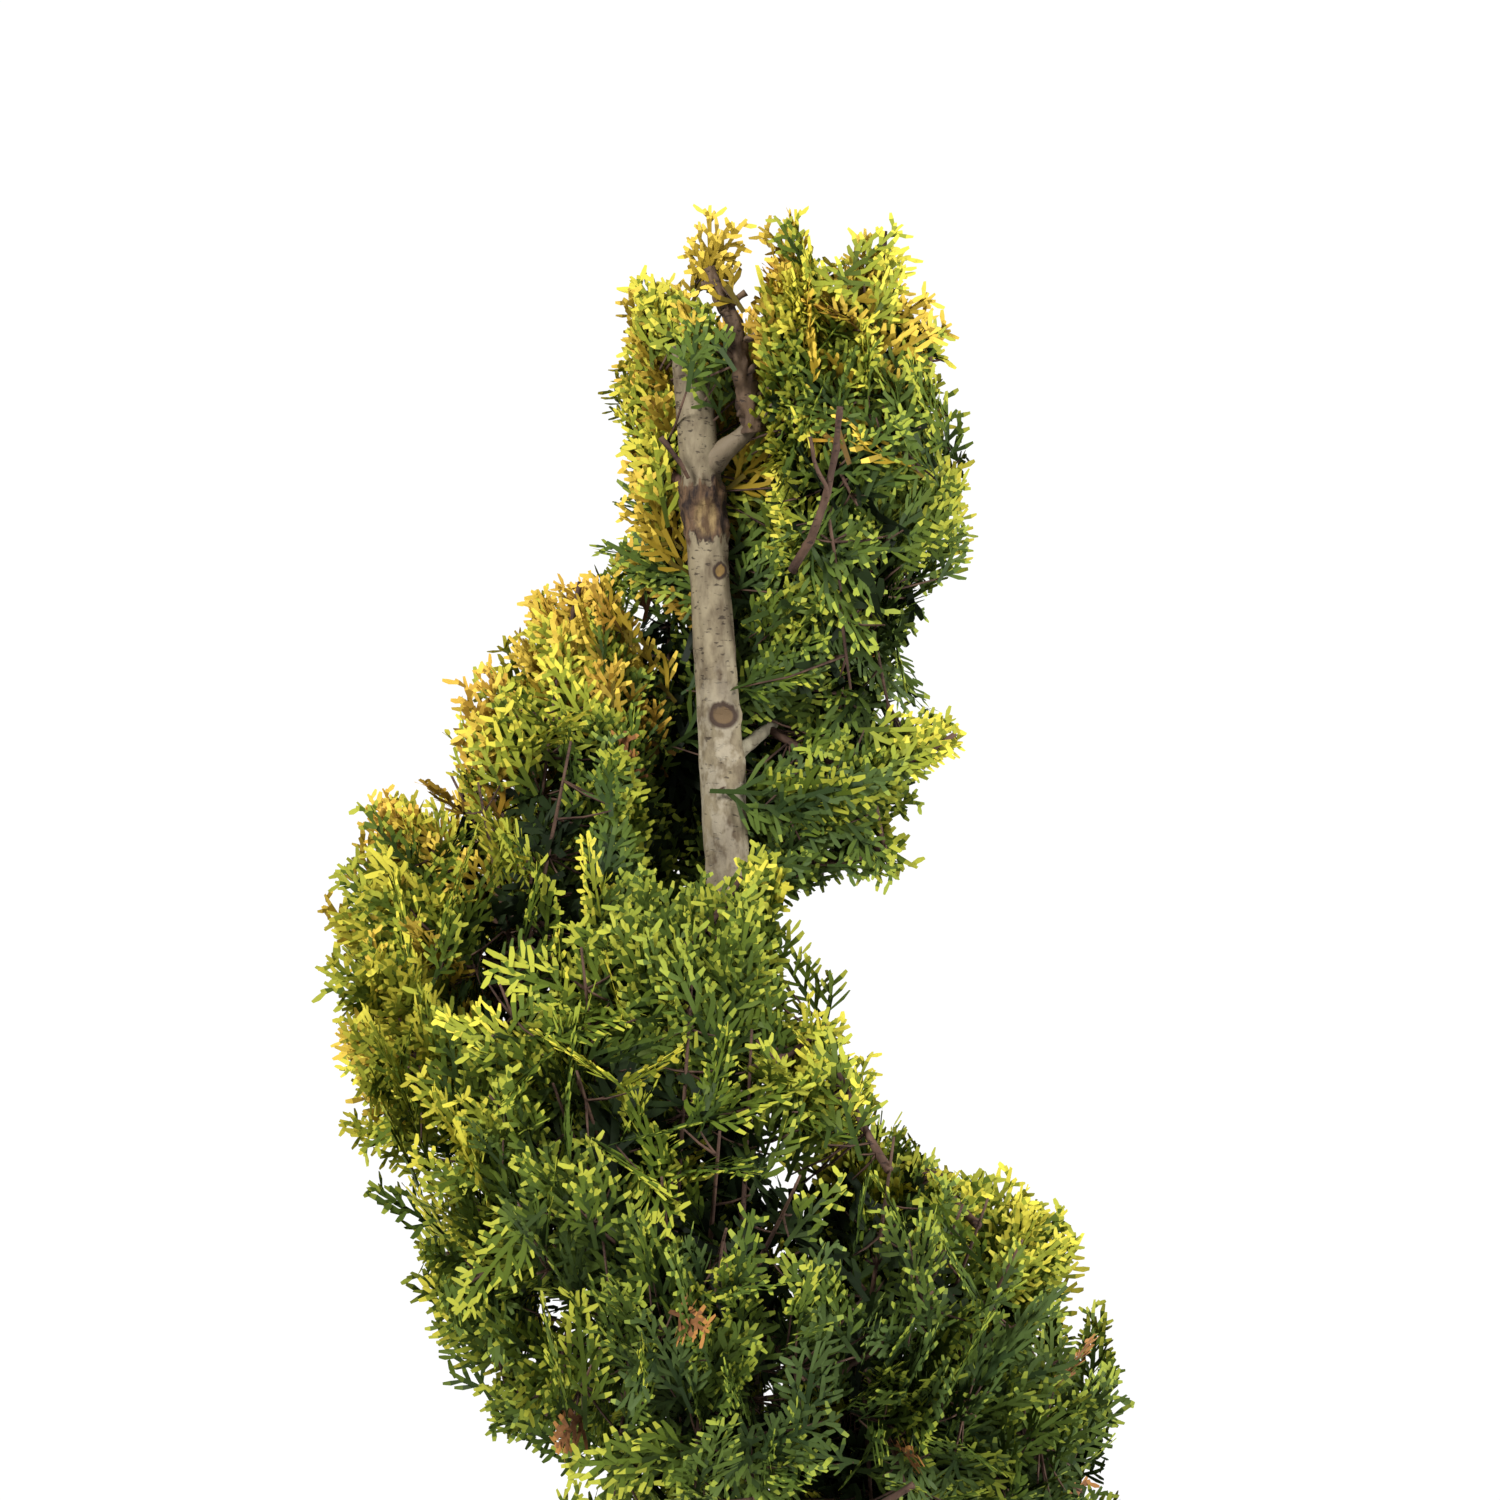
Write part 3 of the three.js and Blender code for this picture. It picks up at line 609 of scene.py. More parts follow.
VIEW_SHARES = (0.3, 0.65, 1.0)  # where along a spray this is looked at
OPEN_GAPS = (  # sky: side, across, up, slopes above and below, lowest and highest
    (1, 47, 866, 1.25, 1.25, 838, 1000),
    (1, 9, 786, 1.0, 0.9, 754, 794),
    (1, 53, 727, -0.93, 0.93, 718, 750),
    (-1, 27, 612, 1, 0, 606, 621),
    (-1, 90, 830, 0, 0, 830, 1000),
)
TUFTS = {  # mass: centre, half size, heading, tones, how many more sprays
    0: (
        ((21, 3, 957), (12, 12, 22), (0.35, -0.15, 1), "gold lime lime", 40),
        ((44, 4, 980), (12, 8, 12), (0.35, 0, 1), "gold lime", 12),
        ((45, 2, 993), (7, 4, 5), (0.45, 0, 1), "gold lime", 5),
        ((59, 4, 962), (9, 10, 14), (0.8, -0.1, 0.8), "lime gold green", 16),
        ((23, -4, 885), (11, 9, 42), (0.6, -0.4, 0.6), "leaf green blue", 54),
    ),
    1: (
        ((40, -2, 829), (20, 18, 15), (1, -0.25, 0.4), "green leaf blue leaf", 46),
        ((66, -5, 842), (7, 6, 4), (1, -0.2, 0.25), "lime green", 8),
        ((46, -4, 803), (10, 6, 6), (0.9, -0.3, -0.5), "green leaf", 9),
        ((24, 4, 803), (13, 16, 7), (0.8, -0.4, 0), "leaf blue", 20),
    ),
    2: (
        ((-52, 18, 869), (21, 16, 20), (-0.6, -0.2, 1), "gold amber lime", 46),
        ((-47, 14, 888), (9, 10, 8), (-0.5, -0.2, 1), "gold amber", 10),
        ((-74, 10, 852), (14, 16, 14), (-0.7, -0.2, 1), "gold amber lime green", 34),
        ((-109, -8, 776), (14, 30, 50), (-1, -0.3, 0.8), "gold lime lime green", 80),
        ((-104, 4, 819), (10, 12, 8), (-0.8, -0.2, 1), "gold amber lime", 18),
    ),
    3: (
        ((-14, -44, 780), (32, 18, 24), (-0.15, -0.3, 1), "green leaf", 76),
        ((2, -36, 800), (16, 9, 12), (0.1, -0.2, 1), "green lime leaf", 26),
        ((-84, -34, 690), (12, 22, 20), (-0.7, -0.4, 0.9), "green leaf lime", 34),
        ((-66, -34, 648), (10, 18, 11), (-0.8, -0.4, 0.2), "green leaf leaf", 20),
        ((27, -34, 756), (8, 6, 5), (1, -0.2, 0.5), "lime green", 6),
    ),
    4: (
        ((30, -52, 744), (14, 18, 12), (0.5, -0.3, 1), "green lime", 22),
        ((87, -22, 693), (16, 20, 16), (0.5, -0.2, 1), "green lime", 38),
        ((60, -32, 713), (24, 14, 8), (0.4, -0.3, 1), "green leaf lime", 36),
    ),
}
BARE_TWIGS = {  # mass: foot, bends, tip and width of twigs that show
    0: (
        ((17, -14, 890), (24, -22, 903), (29, -23, 921), (31, -25, 938), 2.9),
        ((26, -22, 908), (27, -25, 914), (24, -26, 920), (22, -27, 929), 1.6),
    ),
    3: (((-22, -12, 930), (-19, -11, 926), (-16, -10, 922), (-14, -8, 918), 1.8),),
    5: (
        ((12, -84, 612), (24, -88, 618), (36, -90, 624), (50, -93, 633), 3.2),
        ((28, -80, 660), (33, -82, 665), (39, -85, 669), (44, -87, 676), 2.2),
    ),
}


def seeded(start):
    """Random numbers between 0 and 1, those that the plant's solids were grown with."""
    state = start & 0xFFFFFFFF
    while True:
        state = (state + 0x6D2B79F5) & 0xFFFFFFFF
        mixed = ((state ^ (state >> 15)) * (state | 1)) & 0xFFFFFFFF
        mixed ^= (mixed + (((mixed ^ (mixed >> 7)) * (mixed | 61)) & 0xFFFFFFFF)) & 0xFFFFFFFF
        yield ((mixed ^ (mixed >> 14)) & 0xFFFFFFFF) / 4294967296


def ribbon_half_height(angle, reach, above):
    inner = ribbon_inner(angle)
    share = np.clip((reach - inner) / (ribbon_reach(angle) * EDGE_AT - inner), 0, EDGE_MOST)
    nearest_end = np.minimum(angle - RIBBON_START, RIBBON_END - angle) / END_TAPER
    fade = END_HEIGHT + (1 - END_HEIGHT) * smooth_step(nearest_end)
    near_trunk, near_edge = RISE if above else DROP
    return (near_trunk + (near_edge - near_trunk) * share) * fade


def dome(reach):
    return HEIGHT - DOME_DROP * (reach / DOME_REACH) ** DOME_POWER


def section_point(angle, turn, inset, inset_height):
    """A place on the ribbon's skin or inside it. turn is 0 outwards and 90 up, in degrees."""
    across, rise = math.cos(math.radians(turn)), math.sin(math.radians(turn))
    u, v = (math.copysign(abs(part) ** SECTION_POWER, part) for part in (across, rise))
    inner = ribbon_inner(angle)
    outer = max(inner + 12, ribbon_reach(angle) - inset)
    reach = (inner + outer) / 2 + u * (outer - inner) / 2
    half = max(8, ribbon_half_height(angle, reach, v > 0) - inset_height)
    return polar(reach, angle, min(ribbon_middle(angle) + v * half, dome(reach) - inset_height + v * 3))


around = np.radians(np.linspace(-180, 180, 1441))
corners = np.stack([np.sign(f) * abs(f) ** SECTION_POWER for f in (np.cos(around), np.sin(around))], -1)
skin_length = np.append(0, np.cumsum(np.hypot(*(np.diff(corners, axis=0) * SECTION_HALF).T)))


def even_turn(share):
    """A turn that lies a given share, -0.5 to 0.5, of the way round the ribbon's section."""
    return math.degrees(np.interp((share + 0.5) * skin_length[-1], skin_length, around))


def stem_line(line, end):
    """The line on which a stem carries on from the end of a limb."""
    heading = unit(line[-1] - line[-2])
    start = line[-1] + heading * GAP
    return bent_line(start, start + heading * 0.35 * np.linalg.norm(end - start), end, 20)


def plain(name, colour, roughness):
    """A material of one colour, with little gloss."""
    material, shader = new_material(name, 0.08)
    shader.inputs["Base Color"].default_value = (*colour, 1)
    shader.inputs["Roughness"].default_value = roughness
    return material


def spray_pattern(length, gap, shoot_gap, cord_width, chance):
    """A flat spray in its own plane: places (across, along, out), faces, and how far out each
    face lies, from 0 at the spray's foot to 1 at its ends."""
    spots, faces, outness = [], [], []

    def cord(foot, heading, reach, width, value, blunt):
        """A strip of scale leaves, with a rounded end of its own where it is blunt."""
        along = np.array([math.sin(heading), math.cos(heading)])
        across = np.array([along[1], -along[0]]) * width / 2
        roll = chance.uniform(-0.22, 0.22) * width
        lift = chance.uniform(-0.05, 0.12) * reach
        base = sum(map(len, spots))
        rows = BLUNT_CORD if blunt else INNER_CORD
        forward = np.array([-math.copysign(0.1, heading), 0.05]) * reach
        for share, wide in rows:
            middle = foot + along * reach * share + forward * share ** 3 * blunt
            left, right = middle - across * wide, middle + across * wide
            height = lift * share
            spots.append(np.array([(*left, height - roll), (*right, height + roll)]))
        for row in range(len(rows) - 1):
            first = base + 2 * row
            faces.extend([(first, first + 1, first + 3), (first, first + 3, first + 2)])
            outness.extend([value + 0.3 * row * blunt] * 2)
        return foot + along * reach * 0.97

    bow = chance.uniform(-0.3, 0.3)
    steps = max(3, round(length / CORD_PIECE[0]))
    axis = [np.zeros(2)]
    for step in range(steps):
        share = step / steps
        last = step == steps - 1
        axis.append(cord(axis[-1], bow * (share - 0.3), length / steps, cord_width, 0.75 * share, last))
    axis = np.array(axis)
    most, fall, least = BRANCHLET_REACH
    branches = round(length * 0.92 / gap)
    for branch in range(branches):
        share = 0.06 + 0.9 * (branch + chance.uniform(0.3, 0.7)) / branches
        hand = 1 if branch % 2 else -1
        foot = np.array([np.interp(share * steps, range(steps + 1), axis[:, k]) for k in (0, 1)])
        reach = length * (most * (1 - share) ** fall + least) * chance.uniform(0.75, 1.15)
        heading = hand * math.radians(chance.uniform(*BRANCHLET_ANGLES))
        pieces = max(1, round(reach / CORD_PIECE[1]))
        points = [foot]
        for piece in range(pieces):
            turned = heading * (1 - 0.3 * piece / pieces)
            far = 0.1 + 0.5 * share + 0.3 * piece / pieces
            last = piece == pieces - 1
            points.append(cord(points[-1], turned, reach / pieces, cord_width, far, last))
        points = np.array(points)
        shoots = round(reach * 0.8 / shoot_gap)
        for shoot in range(shoots):
            place = 0.14 + 0.72 * (shoot + chance.uniform(0.3, 0.7)) / shoots
            side = -hand if shoot % 2 else hand
            base = [np.interp(place * pieces, range(pieces + 1), points[:, k]) for k in (0, 1)]
            turned = heading * (1 - 0.25 * place) + side * math.radians(chance.uniform(*SHOOT_ANGLES))
            size = (reach * (1 - place) * SHOOT_REACH[0] + SHOOT_REACH[1]) * chance.uniform(0.8, 1.25)
            cord(np.array(base), turned, size, cord_width * 0.95, 0.15 + 0.5 * share + 0.3 * place, True)
    return np.concatenate(spots), np.array(faces), np.array(outness)


pattern_chance = np.random.default_rng(SEED)
PATTERNS = {
    kind: [spray_pattern(*shape, pattern_chance) for _ in range(count)]
    for kind, (*shape, count) in SPRAY_SHAPES.items()
}


def along_spray(spray, shares):
    """A spray's foot, before chance sets its size, and places from the foot to the tip."""
    kind, tip, along = spray[:3]
    foot = tip - along * SPRAY_SHAPES[kind][0]
    return foot, [foot * (1 - share) + tip * share for share in shares]


def place_spray(kind, tip, along, face, family, chance):
    """A spray with its tip at a place, bent a little over its length. Gives its foot, its
    (spots, faces) and each face's tone."""
    places, faces, outness = PATTERNS[kind][chance.integers(len(PATTERNS[kind]))]
    size = chance.uniform(0.85, 1.15)
    side = unit(np.cross(along, face))
    out = np.cross(side, along)
    foot = tip - along * SPRAY_SHAPES[kind][0] * size
    curl = chance.uniform(-0.002, 0.005)
    cup = chance.uniform(-0.004, 0.006)
    hand = chance.choice([-1, 1])
    across, forward, rise = (places * size).T
    bent = rise - curl * forward ** 2 + cup * across ** 2
    spots = foot + across[:, None] * hand * side + forward[:, None] * along + bent[:, None] * out
    middle_edge, tip_edge = LEAF_TONES[family][3:]
    shift = chance.uniform(-0.12, 0.12)
    tone = (outness > middle_edge + shift).astype(int) + (outness > tip_edge + shift)
    return foot, (spots, faces), list(LEAF_TONES).index(family) * 3 + tone


def family_for(normal, tip, depth, chance):
    """The tones of a spray by how much sun its place on the plant gets."""
    x, y, z = tip
    from_z, over_z, more_z = SUN_HEIGHT
    from_x, over_x, more_x = SUN_LEFT
    sun = normal.dot(SUN) + more_z * smooth_step((z - from_z) / over_z) - 0.2 * max(0, -normal[1])
    sun += chance.normal(0, 0.15) + SUN_BY_DEPTH * depth + more_x * smooth_step((-x - from_x) / over_x)
    if any(z < top and x > left and y < back for top, left, back in DULL_PARTS):
        sun = min(sun, DULL_SUN)
    if z > TOP_SUN[0]:
        sun = max(sun, TOP_SUN[1])
    if chance.random() < RUST_SHARE:
        return "rust"
    for least, first, second, share in TONES_BY_SUN:
        if sun > least:
            return first if chance.random() < share else second


def spray_heading(outward, chance, part, lift):
    """The way a spray points: outwards, leaning over towards the sky and to one side."""
    drift = chance.normal(0, 1, 3) + (0, 0, lift)
    drift = unit(drift - outward * drift.dot(outward))
    lean = math.radians(chance.uniform(*LEANS[part]))
    return unit(outward * math.cos(lean) + drift * math.sin(lean))


def under_skin(angle, share, depth, beyond=0):
    """A place under the ribbon's skin, and the way out of the ribbon from there."""
    turn = even_turn(share)
    outward = polar(math.cos(math.radians(turn)), angle, math.sin(math.radians(turn)))
    return section_point(angle + beyond, turn, depth, depth), outward


def inside_ribbon(mass, place, margin):
    """True where a place keeps to a mass's own length of the ribbon, margin deep."""
    angle = math.degrees(math.atan2(place[1], place[0]))
    angle = mass["angle"] + (angle - mass["angle"] + 180) % 360 - 180
    reach = math.hypot(place[0], place[1])
    rise = place[2] - ribbon_middle(angle)
    return (
        mass["from"] - 3 < angle < mass["to"] + 3
        and ribbon_inner(angle) + 1 < reach < ribbon_reach(angle) - margin
        and abs(rise) < ribbon_half_height(angle, reach, rise > 0) - margin
        and place[2] < dome(reach) - margin
    )


def in_gap(x, z):
    """True in one of the gaps of sky, seen from the front."""
    return any(
        lowest < z < highest and side * x > across + (above if z > up else below) * abs(z - up)
        for side, across, up, above, below, lowest, highest in OPEN_GAPS
    )


def spoils_view(places):
    """True where a spray would cover the bare trunk or the leader, or fill a gap of sky."""
    lowest, leader_foot, trunk_clear = BARE_TRUNK
    highest, leader_clear = BARE_LEADER
    top_z, top_x, top_clear = BARE_TOP
    fork_x, fork_z, slope, half_height, half_width = BARE_FORK
    for x, y, z in places:
        if z < leader_foot:
            middle, clear = TRUNK_LEAN * max(0, (z - LEAN_FROM) / (TRUNK_TOP - LEAN_FROM)), trunk_clear
        else:
            middle, clear = np.interp(z, *LEADER_ACROSS), leader_clear
        before_top = leader_foot < z < top_z and abs(x - top_x) < top_clear
        before_trunk = lowest < z < highest and (abs(x - middle) < clear or before_top)
        before_fork = abs(z - fork_z) < half_height and abs(x - fork_x - slope * (z - fork_z)) < half_width
        if (y < VIEW_DEPTH[0] and before_trunk) or (y < VIEW_DEPTH[1] and before_fork) or in_gap(x, z):
            return True
    return False


def free_spray(mass, chance, choose):
    """The first of some chosen sprays, if any, with its foot in the mass that spoils no view."""
    for _ in range(TRIES):
        spray = choose(mass, chance)
        foot, places = along_spray(spray, VIEW_SHARES)
        kept_in = inside_ribbon(mass, foot, FOOT_MARGIN) and not in_gap(foot[0] + 8, foot[2])
        if kept_in and not spoils_view(places):
            return spray


def any_kind(chance, part):
    return chance.choice(["long", "middle", "short"], p=KIND_SHARES[part])


def tuft_spray(tuft, chance):
    """A spray of a tuft, on its skin or within it, that points the tuft's own way."""
    centre, half, heading, families, _ = tuft
    where = unit(chance.normal(0, 1, 3)) * chance.uniform(0.2, 1) ** 0.4
    tip = np.array(centre) + where * half
    tip[2] = min(tip[2], HEIGHT - 3 - 10 * chance.random())
    along = unit(unit(heading) + where * 0.35 + chance.normal(0, 0.24, 3))
    face = unit((0, -1, 0.15) + chance.normal(0, 0.4, 3))
    kind = any_kind(chance, "tuft")
    return kind if max(half) > 19 else "short", tip, along, face, chance.choice(families.split())


def spray_face(outward, chance):
    """The way a spray's flat side looks: outwards, or along the ribbon."""
    level = np.cross(outward, (0, 0, 1))
    wanted = outward if chance.random() < FLAT_OUT[0] + FLAT_OUT[1] * abs(outward[1]) else level
    return unit(wanted + chance.normal(0, 0.38, 3))


def skin_fan(mass, chance):
    """Where a fan of sprays from one twig lies on the skin of a mass, and which way it points."""
    angle = chance.uniform(mass["from"], mass["to"])
    if chance.random() < OUTER_SHARE:
        share = chance.uniform(-OUTER_PART, OUTER_PART)
    else:
        share = (chance.uniform(OUTER_PART, 1 - OUTER_PART) + 0.5) % 1 - 0.5
    less, from_z, over_z = LESS_PROUD
    proud = SKIN_PROUD - less * smooth_step((ribbon_middle(angle) - from_z) / over_z)
    proud -= LESS_RIGHT * max(0, math.cos(math.radians(angle)))
    depth = SKIN_DEPTH * chance.random() ** 1.25 - proud
    _, outward = under_skin(angle, share, depth)
    lift = 2.2 if outward[2] > -0.4 else 0.4
    along = spray_heading(outward, chance, "skin", lift)
    return angle, share, depth, along, spray_face(outward, chance)


def skin_spray(mass, chance):
    """A spray in the outer layer of a mass, often one of a fan."""
    if chance.random() < FAN_SHARE:
        angle, share, depth, along, face = mass["fans"][chance.integers(len(mass["fans"]))]
        angle = np.clip(angle + chance.normal(0, FAN_SPREAD), mass["from"], mass["to"])
        share += chance.normal(0, 0.02)
        depth += chance.uniform(-3, 9)
        along = unit(along + chance.normal(0, 0.3, 3))
        face = unit(face + chance.normal(0, 0.25, 3))
    else:
        angle, share, depth, along, face = skin_fan(mass, chance)
    tip, outward = under_skin(angle, (share + 0.5) % 1 - 0.5, depth)
    tip[2] = min(tip[2], HEIGHT - (4 if tip[0] > 30 else 14) - 14 * chance.random())
    family = family_for(outward, tip, depth, chance)
    kind = any_kind(chance, "skin")
    return "short" if family == "rust" else kind, tip, along, face, family


def shade_spray(mass, chance):
    """A coarse, near-black spray deep inside a mass: painted shade."""
    angle = chance.uniform(mass["from"] + 5, mass["to"] - 5)
    share = chance.uniform(-0.5, 0.5)
    tip, outward = under_skin(angle, share, SHADE_DEPTH[0] + SHADE_DEPTH[1] * chance.random() ** 1.5)
    along = spray_heading(outward, chance, "shade", 0.5)
    return "coarse", tip, along, unit(outward + chance.normal(0, 0.4, 3)), "shade"


def cap_spray(mass, chance):
    """A spray on the cut face at one of the ribbon's two ends."""
    angle, heading = (RIBBON_START, -1) if mass["index"] == 0 else (RIBBON_END, 1)
    share, depth = chance.uniform(-0.5, 0.5), chance.uniform(*CAP_DEPTH)
    tip, outward = under_skin(angle, share, depth, heading * chance.uniform(-8, 2))
    outward = unit(polar(1.2, angle + 90 * heading, 0) + outward)
    along = spray_heading(outward, chance, "cap", 1.2)
    kind = any_kind(chance, "cap")
    return kind, tip, along, spray_face(outward, chance), family_for(outward, tip, 8, chance)


def hang_spray(spray, anchors, width, growth, chance, overlap=2):
    """Adds a spray to a growth of twigs, leaves and tones. A thin twig joins it to the nearest
    anchor."""
    foot, leaf, tone = place_spray(*spray, chance)
    start = anchors[np.argmin(np.linalg.norm(anchors - foot, axis=1))]
    end = foot + spray[2] * overlap
    middle = (start + end) / 2 + (0, 0, -0.04 * np.linalg.norm(end - start))
    twig = limb(np.array([start, middle, end]), width, width * 0.6, 3)
    for kept, part in zip(growth, (twig, leaf, tone)):
        kept.append(part)


def make_growth(growth, twigs_name, skin, twigs_slot, sprays_name, sprays_slot, node):
    """The two pieces that replace a node of foliage: its twigs and its sprays."""
    twigs, leaves, tones = growth
    make_piece(twigs_name, *gathered(twigs), [skin], 0, twigs_slot, node)
    make_piece(sprays_name, *gathered(leaves), tone_materials, np.concatenate(tones), sprays_slot, node)


tone_materials = [
    plain(f"{family} {place}", colour, 0.55)
    for family, colours in LEAF_TONES.items()
    for place, colour in zip(("inner", "middle", "tip"), colours)
]
for mass in masses:
    index, name = mass["index"], mass["name"]
    rule = seeded(SEED + index)
    chance = np.random.default_rng(SEED + 100 + index)
    line, _ = bough_line(mass)
    end = polar(ribbon_reach(mass["angle"]) * 0.55, mass["angle"], ribbon_middle(mass["angle"]) + 4)
    stem = stem_line(line, end)
    limbs = [barked_limb(stem, BOUGH_TIP_WIDTH, TWIG_WIDTH, 10, 0.1, chance)]
    anchors = []
    for i in range(TWIGS_PER_MASS):
        share = (i + 0.5) / TWIGS_PER_MASS
        angle = mass["from"] + TWIG_MARGIN + share * (mass["to"] - mass["from"] - 2 * TWIG_MARGIN)
        leaves_stem = stem[int((0.3 + 0.7 * share) * 19)]
        fork = section_point(angle, 0, CORE_INSET * 2, CORE_INSET_HEIGHT) * 0.7 + leaves_stem * 0.3
        bend = leaves_stem * 0.4 + fork * 0.6 + (0, 0, -4)
        twig = bent_line(leaves_stem, bend, fork, 10)
        limbs.append(barked_limb(twig, TWIG_WIDTH, TWIG_WIDTH * 0.8, 8, 0.08, chance))
        anchors.extend(twig[3:])
        for j in range(SIDE_TWIGS):
            turn = -112 + 224 * (j + 0.5 * (i % 2) + 0.5 * next(rule)) / SIDE_TWIGS
            swayed = angle + TWIG_SWAY * (next(rule) - 0.5)
            inset = CORE_INSET - TWIG_PROUD
            tip = section_point(swayed, turn, inset, CORE_INSET_HEIGHT - TWIG_PROUD)
            side_twig = bent_line(fork, (fork + tip) / 2 + (0, 0, -3), tip, 8)
            if tip[2] > HEIGHT - 30 or any(in_gap(x + 5, z) for x, _, z in side_twig):
                continue
            limbs.append(limb(side_twig, TWIG_WIDTH * 0.65, TWIG_TIP_WIDTH * 0.5, 6))
            anchors.extend(side_twig[1:7])
    anchors = np.array(anchors)
    size = (mass["to"] - mass["from"]) / MASS_ANGLE * ribbon_reach(mass["angle"]) / FULL_REACH
    mass["fans"] = [skin_fan(mass, chance) for _ in range(round(SKIN_SPRAYS * size / FAN_SIZE))]
    wanted = [(skin_spray, SKIN_SPRAYS * size), (shade_spray, SHADE_SPRAYS * size)]
    if index in (0, MASS_COUNT - 1):
        wanted.append((cap_spray, CAP_SPRAYS))
    sprays = [free_spray(mass, chance, choose) for choose, count in wanted for _ in range(round(count))]
    for tuft in TUFTS.get(index, ()):
        centre = np.array(tuft[0])
        nearby = np.concatenate([line[8:], anchors])
        start = nearby[np.argmin(np.linalg.norm(nearby - centre, axis=1))]
        carrier = bent_line(start, (start + centre) / 2 - (0, 0, 3), centre, 10)
        limbs.append(limb(carrier, TWIG_WIDTH, TWIG_TIP_WIDTH, 7))
        anchors = np.concatenate([anchors, carrier[2:]])
        tufted = [tuft_spray(tuft, chance) for _ in range(tuft[-1])]
        sprays += [spray for spray in tufted if not spoils_view(along_spray(spray, VIEW_SHARES)[1])]
    for *bends, width in BARE_TWIGS.get(index, ()):
        twig = through(np.array(bends), 22)
        limbs.append(barked_limb(twig, width, width * 0.6, 9, 0.2, chance))
    growth = (limbs, [], [])
    for spray in sprays:
        if spray:
            hang_spray(spray, anchors, 1.0, growth, chance)
    make_growth(
        growth, "twigs_" + name, twig_bark, "bough_bark", "sprays_" + name, "green_sprays", "foliage_" + name
    )

# CROWN
# Four small golden sprays at the leader's tip, the plant's highest point, and the golden tufts
# that grow behind and before the sawn top on a twig of their own, made as the masses' are.
CROWN_TWIG = ((-17, 6, 918), (-22, 13, 926))
CROWN_TWIG_HEIGHT = 912
CROWN_CORE = np.array([-27.0, 17, 946])
CROWN_TUFTS = (  # centre, half size, heading, tones, how many sprays
    ((-25, 8, 948), (12, 14, 34), (-0.6, -0.2, 1), "gold amber lime lime", 60),
    ((-26, 4, 976), (8, 8, 8), (-0.5, -0.2, 1), "gold lime", 9),
    ((-29, 10, 908), (13, 14, 27), (-0.9, -0.2, 0.5), "gold leaf amber blue", 46),
    ((2, 20, 955), (24, 12, 20), (0, 0.1, 1), "gold amber lime", 60),
    # behind the leader: dark green sprays mixed with near-black ones of painted shade
    ((-4, 22, 915), (22, 10, 32), (-0.3, -0.2, 1), "shade leaf leaf", 44),
    ((-15, -9, 966), (7, 4, 12), (-0.45, -0.2, 1), "leaf green gold", 12),
)
LEADER_TIPS = ((-8, -5, 1000), (3.2, -6.5, 996), (-15, -2, 990), (-3, -6, 992))
chance = np.random.default_rng(SEED + 40)
twig = through(np.array([trunk_middle(CROWN_TWIG_HEIGHT), *CROWN_TWIG]), 16)
spots, faces = barked_limb(twig, BOUGH_TIP_WIDTH, TWIG_WIDTH, 10, 0.1, chance)
make_piece("crown_twig_bark", spots, faces, [red_bark], 0, "bough_bark", "crown_twig")
growth = ([], [], [])
for tip in np.array(LEADER_TIPS):
    spray = ("short", tip, unit(tip - leader_line[-1]), unit((0.2, -1, 0.1)), "gold")
    hang_spray(spray, leader_line[-1:], 1.5, growth, chance, 3)
make_growth(
    growth, "leader_twigs", dark_bark, "leader_bark", "leader_tip_sprays", "golden_sprays", "leader_sprays"
)
stem = stem_line(twig, CROWN_CORE)
growth = ([barked_limb(stem, TWIG_WIDTH, TWIG_TIP_WIDTH, 8, 0.1, chance)], [], [])
for tuft in CROWN_TUFTS:
    for _ in range(tuft[-1]):
        spray = tuft_spray(tuft, chance)
        before_top = tuft is CROWN_TUFTS[-1]
        if before_top or not spoils_view(along_spray(spray, (0.1, 0.4, 0.7, 1.0))[1]):
            hang_spray(spray, stem, 1.2, growth, chance)
make_growth(
    growth, "crown_twigs", twig_bark, "bough_bark", "crown_leaf_sprays", "golden_sprays", "crown_sprays"
)

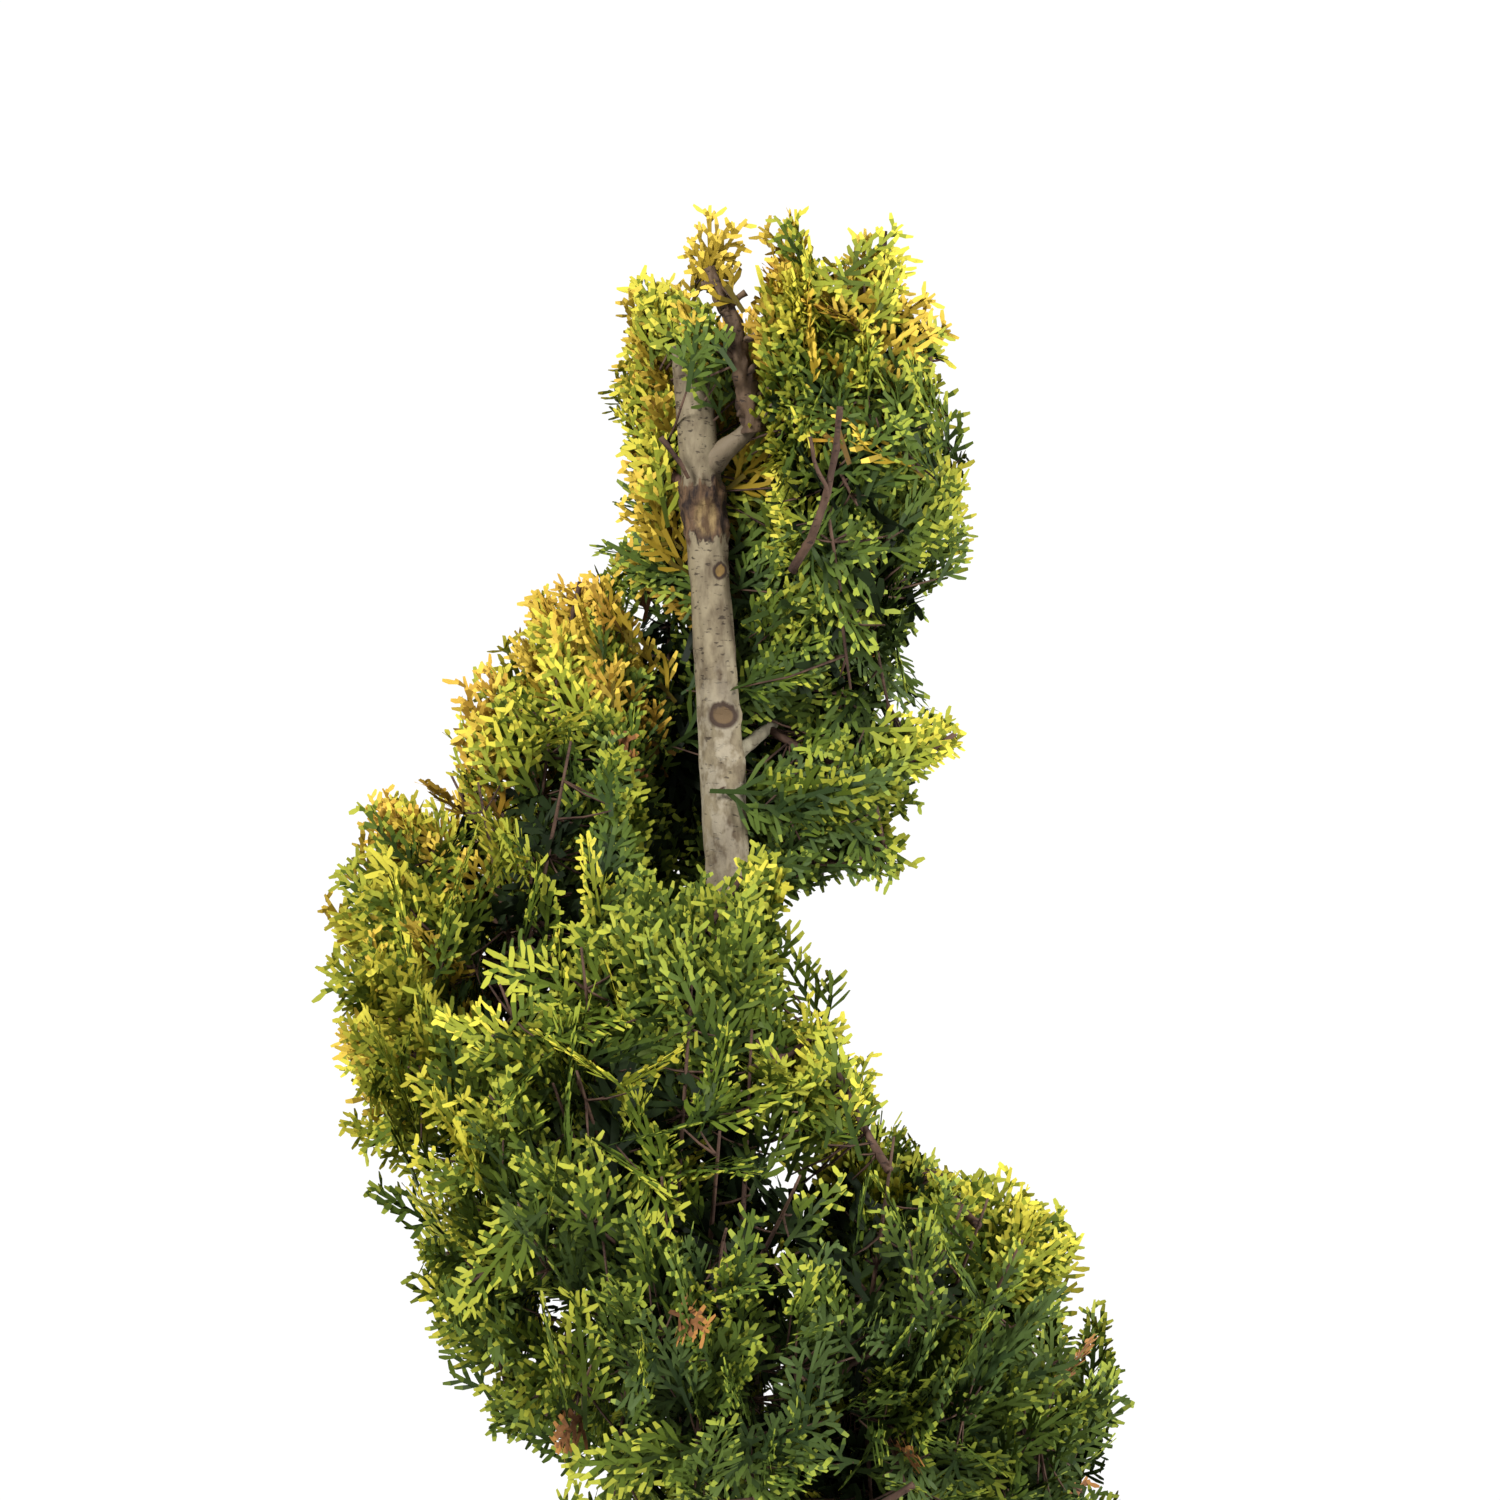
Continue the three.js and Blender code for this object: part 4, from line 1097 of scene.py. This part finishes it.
# STUDIO
# A plain pale floor, a soft lamp before the plant on the left, a broader and weaker one on the
# right, and a white surround. The camera looks level along +Y through a long lens.
FLOOR_HALF = 1.6  # this section is in metres
SURROUND_LIGHT = 0.45
SURROUND_IN_VIEW = 0.60  # how much brighter the camera itself sees it
LAMPS = (  # name, place, size and power
    ("key_lamp", (-1.3, -1.5, 2.1), 0.5, 95),
    ("fill_lamp", (2.0, -0.9, 1.2), 1.2, 86),
)
LAMP_AIM = np.array([0, 0, 0.75])
CAMERA_PLACE = (0.0045, -1.25, 0.837)
scene = bpy.context.scene
scene.view_settings.view_transform = "Standard"
world = bpy.data.worlds.new("white surround")
world.use_nodes = True
background = world.node_tree.nodes["Background"]
background.inputs["Color"].default_value = (1, 1, 1, 1)
paths = world.node_tree.nodes.new("ShaderNodeLightPath")
in_view = Shade(world.node_tree, paths.outputs["Is Camera Ray"])
brightness = in_view * SURROUND_IN_VIEW + SURROUND_LIGHT
world.node_tree.links.new(brightness.socket, background.inputs["Strength"])
scene.world = world
floor_mesh = bpy.data.meshes.new("floor")
floor_corners = [(FLOOR_HALF * x, FLOOR_HALF * y, 0) for x, y in ((-1, -1), (1, -1), (1, 1), (-1, 1))]
floor_mesh.from_pydata(floor_corners, [], [(0, 1, 2, 3)])
floor_mesh.materials.append(plain("floor paper", (0.86, 0.86, 0.86), 0.8))
stand("floor", floor_mesh)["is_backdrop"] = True
for name, place, size, power in LAMPS:
    lamp = bpy.data.lights.new(name, "AREA")
    lamp.size = size
    lamp.energy = power
    lamp_object = stand(name, lamp)
    lamp_object.location = place
    lamp_object.rotation_mode = "QUATERNION"
    lamp_object.rotation_quaternion = Vector(LAMP_AIM - np.array(place)).to_track_quat("-Z", "Y")
camera = bpy.data.cameras.new("camera")
camera.lens = 100
camera.sensor_width = 36
camera.clip_end = 20
camera_object = stand("camera", camera)
camera_object.location = CAMERA_PLACE
camera_object.rotation_euler = (math.radians(90), 0, 0)
scene.camera = camera_object

visual_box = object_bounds()
[[list(corner) for corner in box] for box in (cad_box, visual_box)]
